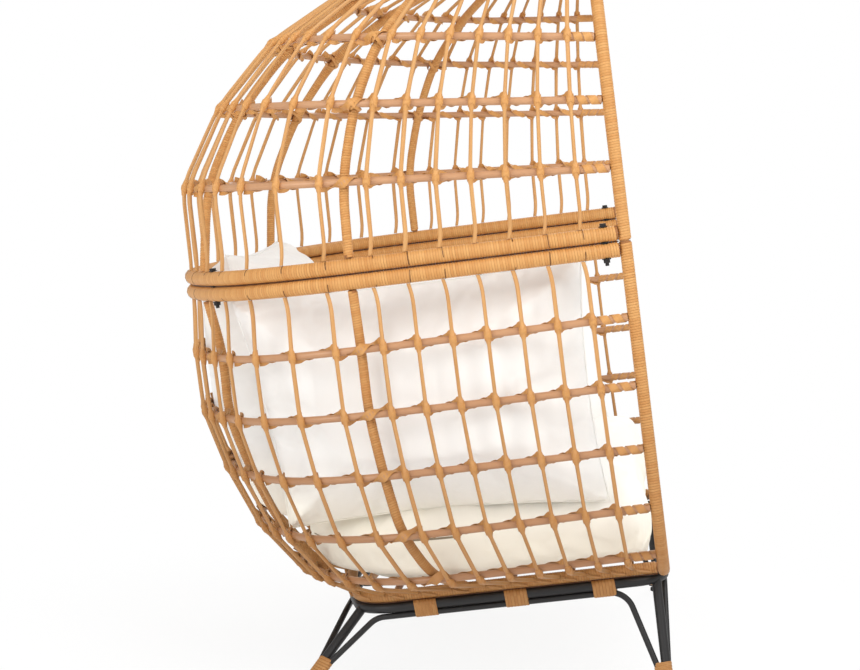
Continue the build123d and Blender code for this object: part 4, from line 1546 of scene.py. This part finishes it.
def even_copy(node, name, voxel):
    """An evenly meshed copy of a soft CAD solid."""
    mesh = bmesh.new()
    mesh.from_mesh(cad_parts[node].data)
    bmesh.ops.remove_doubles(mesh, verts=mesh.verts, dist=1e-5)
    pad = linked(name, as_template(mesh))
    remesh = pad.modifiers.new("even", "REMESH")
    remesh.mode = "VOXEL"
    remesh.voxel_size = voxel
    apply_modifiers(pad)
    return pad


def inflate(pad, held, pressure, cap):
    """Fills a cover by cloth simulation; held vertices stay, others move no further than the cap."""
    start = [vertex.co.copy() for vertex in pad.data.vertices]
    group = pad.vertex_groups.new(name="held")
    group.add(held, 1.0, "REPLACE")
    cloth = pad.modifiers.new("fill", "CLOTH")
    for name, value in CLOTH.items():
        setattr(cloth.settings, name, value)
    cloth.settings.uniform_pressure_force = pressure
    cloth.settings.effector_weights.gravity = 0.0
    cloth.collision_settings.use_collision = False
    scene = bpy.context.scene
    for number in range(1, sizes().cloth_frames + 1):
        scene.frame_set(number)
    apply_modifiers(pad)
    scene.frame_set(1)
    pad.vertex_groups.clear()
    for vertex, origin in zip(pad.data.vertices, start):
        move = vertex.co - origin
        if move.length > cap:
            vertex.co = origin + move.normalized() * cap


def rear_limit(point):
    """How far back a cover may reach at a point before it meets the hoops or the waist ring."""
    marks = []
    for line in BOWL_LINES[1:]:
        low, high = REAR_SHARES
        for step in range(REAR_HALVINGS):
            middle = (low + high) / 2
            if line.share(middle)[0].dot(ACROSS) > point.dot(ACROSS):
                low = middle
            else:
                high = middle
        place = line.share(low)[0] - BODY
        room = RING_RADIUS if line is BOWL_LINES[-1] else HOOP_RADIUS
        marks.append((place.dot(UP), place.dot(BACK) - room - COVER_ROOM))
    height = (point - BODY).dot(UP)
    if height <= marks[0][0]:
        return marks[0][1]
    for (below, deep), (above, next_deep) in zip(marks, marks[1:]):
        if height <= above:
            return deep + (next_deep - deep) * (height - below) / (above - below)
    return marks[-1][1]


class NEST_OT_fill_cushions(bpy.types.Operator):
    """Fills the canvas cushions and sews their seams"""

    bl_idname = "nest.fill_cushions"
    bl_label = "Fill Cushions"

    def execute(self, context):
        canvas = canvas_finish()
        welt = rod_template(steps=96, sides=8)
        for shape in pillows():
            self.pillow(shape, canvas, welt)
        bpy.data.meshes.remove(welt)
        self.seat(canvas)
        return {"FINISHED"}

    def pillow(self, shape, canvas, welt):
        """One knife-edge pillow and its sewn edge."""
        pad = even_copy(shape.name, shape.name + "_cover", PILLOW_VOXEL)
        held = []
        for vertex in pad.data.vertices:
            local = shape.local(vertex.co)
            if abs(local.z) < SEAM_HELD:
                held.append(vertex.index)
            else:
                middle = max(0.0, 1 - (2 * local.x / shape.length) ** 2)
                behind = min(1.0, max(0.0, -2 * local.z / shape.swell))
                local.z = PILLOW_START * local.z - shape.bulge * middle * behind
                vertex.co = shape.world(local)
        inflate(pad, held, PILLOW_PRESSURE, PILLOW_GROWTH)
        self.crease(pad, shape)
        if shape.bulge:
            for vertex in pad.data.vertices:
                over = (vertex.co - BODY).dot(BACK) - rear_limit(vertex.co)
                vertex.co -= BACK * max(0.0, over)
        self.finish(pad, canvas, PILLOW_FILL, shape.name)
        edge = Piece(shape.name + "_seam")

        def place(straight):
            point = shape.seam(straight.x)
            ahead = shape.seam((straight.x + WELT_STEP) % 1.0)
            behind = shape.seam((straight.x - WELT_STEP) % 1.0)
            run = (ahead - behind).normalized()
            side = run.cross(shape.facing).normalized()
            drawn = straight * WELT_RADIUS
            drawn.x = straight.x * WELT_DRAWN_LENGTH
            return point + (side * straight.y + shape.facing * straight.z) * WELT_RADIUS, drawn

        edge.append(welt, place)
        edge.finish(canvas, "canvas")

    def crease(self, pad, shape):
        """Presses a crease under the top edge and slow upright folds into both faces."""
        for vertex in pad.data.vertices:
            local = shape.local(vertex.co)
            free = min(1.0, abs(local.z) / CREASE_FREE)
            back = local.x / shape.length + 0.5
            drop = CREASE_FRONT + (CREASE_REAR - CREASE_FRONT) * back
            drop += CREASE_WAVE * sin(CREASE_WAVE_RATE * local.x)
            near = (local.y - shape.height / 2 + drop) / CREASE_WIDTH
            across = (local.x + FOLD_LEAN * local.y) * FOLD_RATE_ACROSS
            fold = noise.noise(Vector((across, local.y * FOLD_RATE_UP, shape.swell * FOLD_SEED)))
            press = CREASE_DEPTH * exp(-near * near) + FOLD_DEPTH * fold
            local.z -= press * free * (1 if local.z > 0 else -1)
            vertex.co = shape.world(local)

    def zip(self, pad):
        """Zip around the seat cushion's rear corner on the -X side, partly open."""
        teeth = Piece("seat_cushion_zip")
        strip = ribbon_template(steps=40)
        board = SEAT_BOARD.lifted(RIM_RADIUS + FIT + ZIP_LEVEL)
        middle = board.point(SEAT_PAD_CORNER - SEAT_PAD_HALF_WIDTH, SEAT_PAD_BACK - SEAT_PAD_CORNER)
        bpy.context.view_layer.update()
        for start, end, width in ((0.0, ZIP_OPEN, ZIP_OPEN_WIDTH), (ZIP_OPEN, 1.0, ZIP_SHUT_WIDTH)):

            def path(share, start=start, end=end):
                turn = ZIP_TURN * (start + (end - start) * share)
                look = board.slope * sin(turn) - ACROSS * cos(turn)
                return pad.ray_cast(middle + look, -look)[1:3]

            lay_ribbon(teeth, strip, path, width, ZIP_THICKNESS)
        bpy.data.meshes.remove(strip)
        teeth.finish(zip_finish(), "canvas")

    def seat(self, canvas):
        """The seat cushion."""
        pad = even_copy("seat_cushion", "seat_cushion_cover", SEAT_VOXEL)
        for vertex in pad.data.vertices:
            along = (vertex.co - SEAT_BOARD.origin).dot(SEAT_BOARD.slope)
            near = max(0.0, 1 - along / SEAT_FRONT_RUN)
            push = max(0.0, along - SEAT_PAD_FRONT) * SEAT_FRONT_FILL * near ** SEAT_FRONT_POWER
            vertex.co -= SEAT_BOARD.slope * push
        held = [v.index for v in pad.data.vertices if v.normal.z < SEAT_HELD_BELOW]
        inflate(pad, held, SEAT_PRESSURE, SEAT_GROWTH)
        self.finish(pad, canvas, SEAT_FILL, "seat_cushion")
        self.zip(pad)

    def finish(self, pad, canvas, fill, node):
        """Smooths a filled cover, gives it the canvas, lets it ride on the chair and hides its CAD
        node.
        """
        soft = pad.modifiers.new("soft", "SUBSURF")
        soft.levels = 1
        soft.render_levels = 1
        apply_modifiers(pad)
        pad.data.shade_smooth()
        pad.data.materials.clear()
        pad.data.materials.append(canvas)
        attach(pad, "root")
        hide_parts(node)


class NEST_OT_dress_solids(bpy.types.Operator):
    """Gives the carried-over solids their finishes"""

    bl_idname = "nest.dress_solids"
    bl_label = "Dress Solids"

    def execute(self, context):
        steel = steel_finish("base_steel", colours().steel, roughness=0.36, grit=700.0)
        tube = steel_finish("frame_steel", colours().tube, roughness=0.50, grit=600.0)
        fastener = steel_finish("fastener_steel", colours().steel, roughness=0.42, grit=900.0)
        finishes = {
            "hoop": hoop_finish(), "base_ring": steel, "leg": steel, "brace": steel,
            "glides": rubber_finish(), "bolts": fastener, "washers": fastener, "nuts": fastener,
            "tabs": tube, "bars": tube, "tube": tube, "ribs": tube,
        }
        for name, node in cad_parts.items():
            words = [word for word in finishes if word in name]
            if words:
                node.data.materials.clear()
                node.data.materials.append(finishes[words[-1]])
        return {"FINISHED"}


# Floor: its share of plain white near the chair, and the distances where that grows to all white
FLOOR_SIZE = 30.0
FLOOR_WHITE = 0.88
FLOOR_NEAR = 0.45
FLOOR_FAR = 1.05

# Lamps by name, place, diameter and power, where they look, and the light all around
LAMPS = (
    ("key_light", (-2.6, -2.2, 3.4), 2.6, 92.0),
    ("fill_light", (-3.4, 2.2, 2.0), 2.4, 56.0),
    ("far_light", (3.2, -1.0, 2.6), 2.4, 40.0),
)
LAMP_TARGET = Vector((0.0, 0.0, 0.65))
WORLD_STRENGTH = 0.68
WHITE = (1.0, 1.0, 1.0, 1.0)

# Camera
CAMERA_PLACE = (-3.62, -0.32396, 0.890)
CAMERA_PITCH = radians(5.285)
CAMERA_YAW = radians(5.15)
CAMERA_LENS = 83.7
CAMERA_SENSOR = 36.0


def aim(thing, direction):
    """Turns a lamp or a camera to look along a direction."""
    thing.rotation_euler = direction.to_track_quat("-Z", "Y").to_euler()


class NEST_OT_set_stage(bpy.types.Operator):
    """Sets the floor, the lights and the camera"""

    bl_idname = "nest.set_stage"
    bl_label = "Set Stage"

    def execute(self, context):
        self.floor()
        self.lights(context)
        self.camera(context)
        return {"FINISHED"}

    def floor(self):
        mesh = bmesh.new()
        bmesh.ops.create_grid(mesh, x_segments=1, y_segments=1, size=FLOOR_SIZE)
        floor_object = linked("studio_floor", as_template(mesh))
        look = Finish("studio_floor")
        white = linear(colours().backdrop)
        look.set(base_color=white, roughness=0.9, specular_ior_level=0.1)
        glow = look.add("ShaderNodeEmission", {}, {"Color": white, "Strength": 1.0})
        path = look.tree.nodes.new("ShaderNodeLightPath")
        rays = ("Is Camera Ray", "Is Glossy Ray", "Is Transmission Ray")
        seen, shiny, clear = (Tone(look, path.outputs[ray]) for ray in rays)
        spread = look.add("ShaderNodeVectorMath", {"operation": "LENGTH"}, {0: look.place()}, 1)
        white_out = FLOOR_WHITE + (1 - FLOOR_WHITE) * look.between(spread, FLOOR_NEAR, FLOOR_FAR)
        factor = (seen + shiny + clear).clamped() * white_out
        shaded = Tone(look, look.shader.outputs[0])
        mixed = look.add("ShaderNodeMixShader", {}, {0: factor, 1: shaded, 2: glow})
        output = look.tree.nodes["Material Output"]
        look.feed(output.inputs["Surface"], mixed)
        floor_object.data.materials.append(look.material)

    def lights(self, context):
        for name, place, size, power in LAMPS:
            lamp = bpy.data.lights.new(name, "AREA")
            lamp.shape = "DISK"
            lamp.size = size
            lamp.energy = power
            holder = linked(name, lamp)
            holder.location = place
            aim(holder, LAMP_TARGET - Vector(place))
        world = context.scene.world or bpy.data.worlds.new("studio")
        context.scene.world = world
        world.use_nodes = True
        nodes = world.node_tree.nodes
        links = world.node_tree.links
        back = nodes["Background"]
        seen = nodes.new("ShaderNodeBackground")
        for node, strength in ((back, WORLD_STRENGTH), (seen, 1.0)):
            node.inputs["Color"].default_value = WHITE
            node.inputs["Strength"].default_value = strength
        path = nodes.new("ShaderNodeLightPath")
        mix = nodes.new("ShaderNodeMixShader")
        links.new(path.outputs["Is Camera Ray"], mix.inputs[0])
        links.new(back.outputs[0], mix.inputs[1])
        links.new(seen.outputs[0], mix.inputs[2])
        links.new(mix.outputs[0], nodes["World Output"].inputs["Surface"])
        context.scene.view_settings.view_transform = "Standard"

    def camera(self, context):
        lens = bpy.data.cameras.new("picture_camera")
        lens.lens = CAMERA_LENS
        lens.sensor_width = CAMERA_SENSOR
        lens.sensor_fit = "HORIZONTAL"
        camera = linked("picture_camera", lens)
        camera.location = CAMERA_PLACE
        level = cos(CAMERA_PITCH)
        aim(camera, Vector((level * cos(CAMERA_YAW), level * sin(CAMERA_YAW), -sin(CAMERA_PITCH))))
        context.scene.camera = camera


class NEST_PT_sidebar(bpy.types.Panel):
    """Steps and sizes of the nest chair"""

    bl_idname = "NEST_PT_sidebar"
    bl_label = "Nest Chair"
    bl_space_type = "VIEW_3D"
    bl_region_type = "UI"
    bl_category = "Nest Chair"

    def draw(self, context):
        for step in STEPS:
            self.layout.operator(step.bl_idname)
        for group in (context.scene.nest_sizes, context.scene.nest_colours):
            for name in group.__annotations__:
                self.layout.prop(group, name)


STEPS = (
    NEST_OT_dress_solids,
    NEST_OT_wind_tubes,
    NEST_OT_lay_strands,
    NEST_OT_tie_hoops,
    NEST_OT_bind_base,
    NEST_OT_fill_cushions,
    NEST_OT_set_stage,
)
CLASSES = (NestSizes, NestColours, *STEPS, NEST_PT_sidebar)


def register():
    for item in CLASSES:
        bpy.utils.register_class(item)
    bpy.types.Scene.nest_sizes = PointerProperty(type=NestSizes)
    bpy.types.Scene.nest_colours = PointerProperty(type=NestColours)


def unregister():
    del bpy.types.Scene.nest_colours
    del bpy.types.Scene.nest_sizes
    for item in reversed(CLASSES):
        bpy.utils.unregister_class(item)


def main():
    register()
    bpy.ops.nest.dress_solids()
    bpy.ops.nest.wind_tubes()
    bpy.ops.nest.lay_strands()
    bpy.ops.nest.tie_hoops()
    bpy.ops.nest.bind_base()
    bpy.ops.nest.fill_cushions()
    bpy.ops.nest.set_stage()


if __name__ == "__main__":
    main()
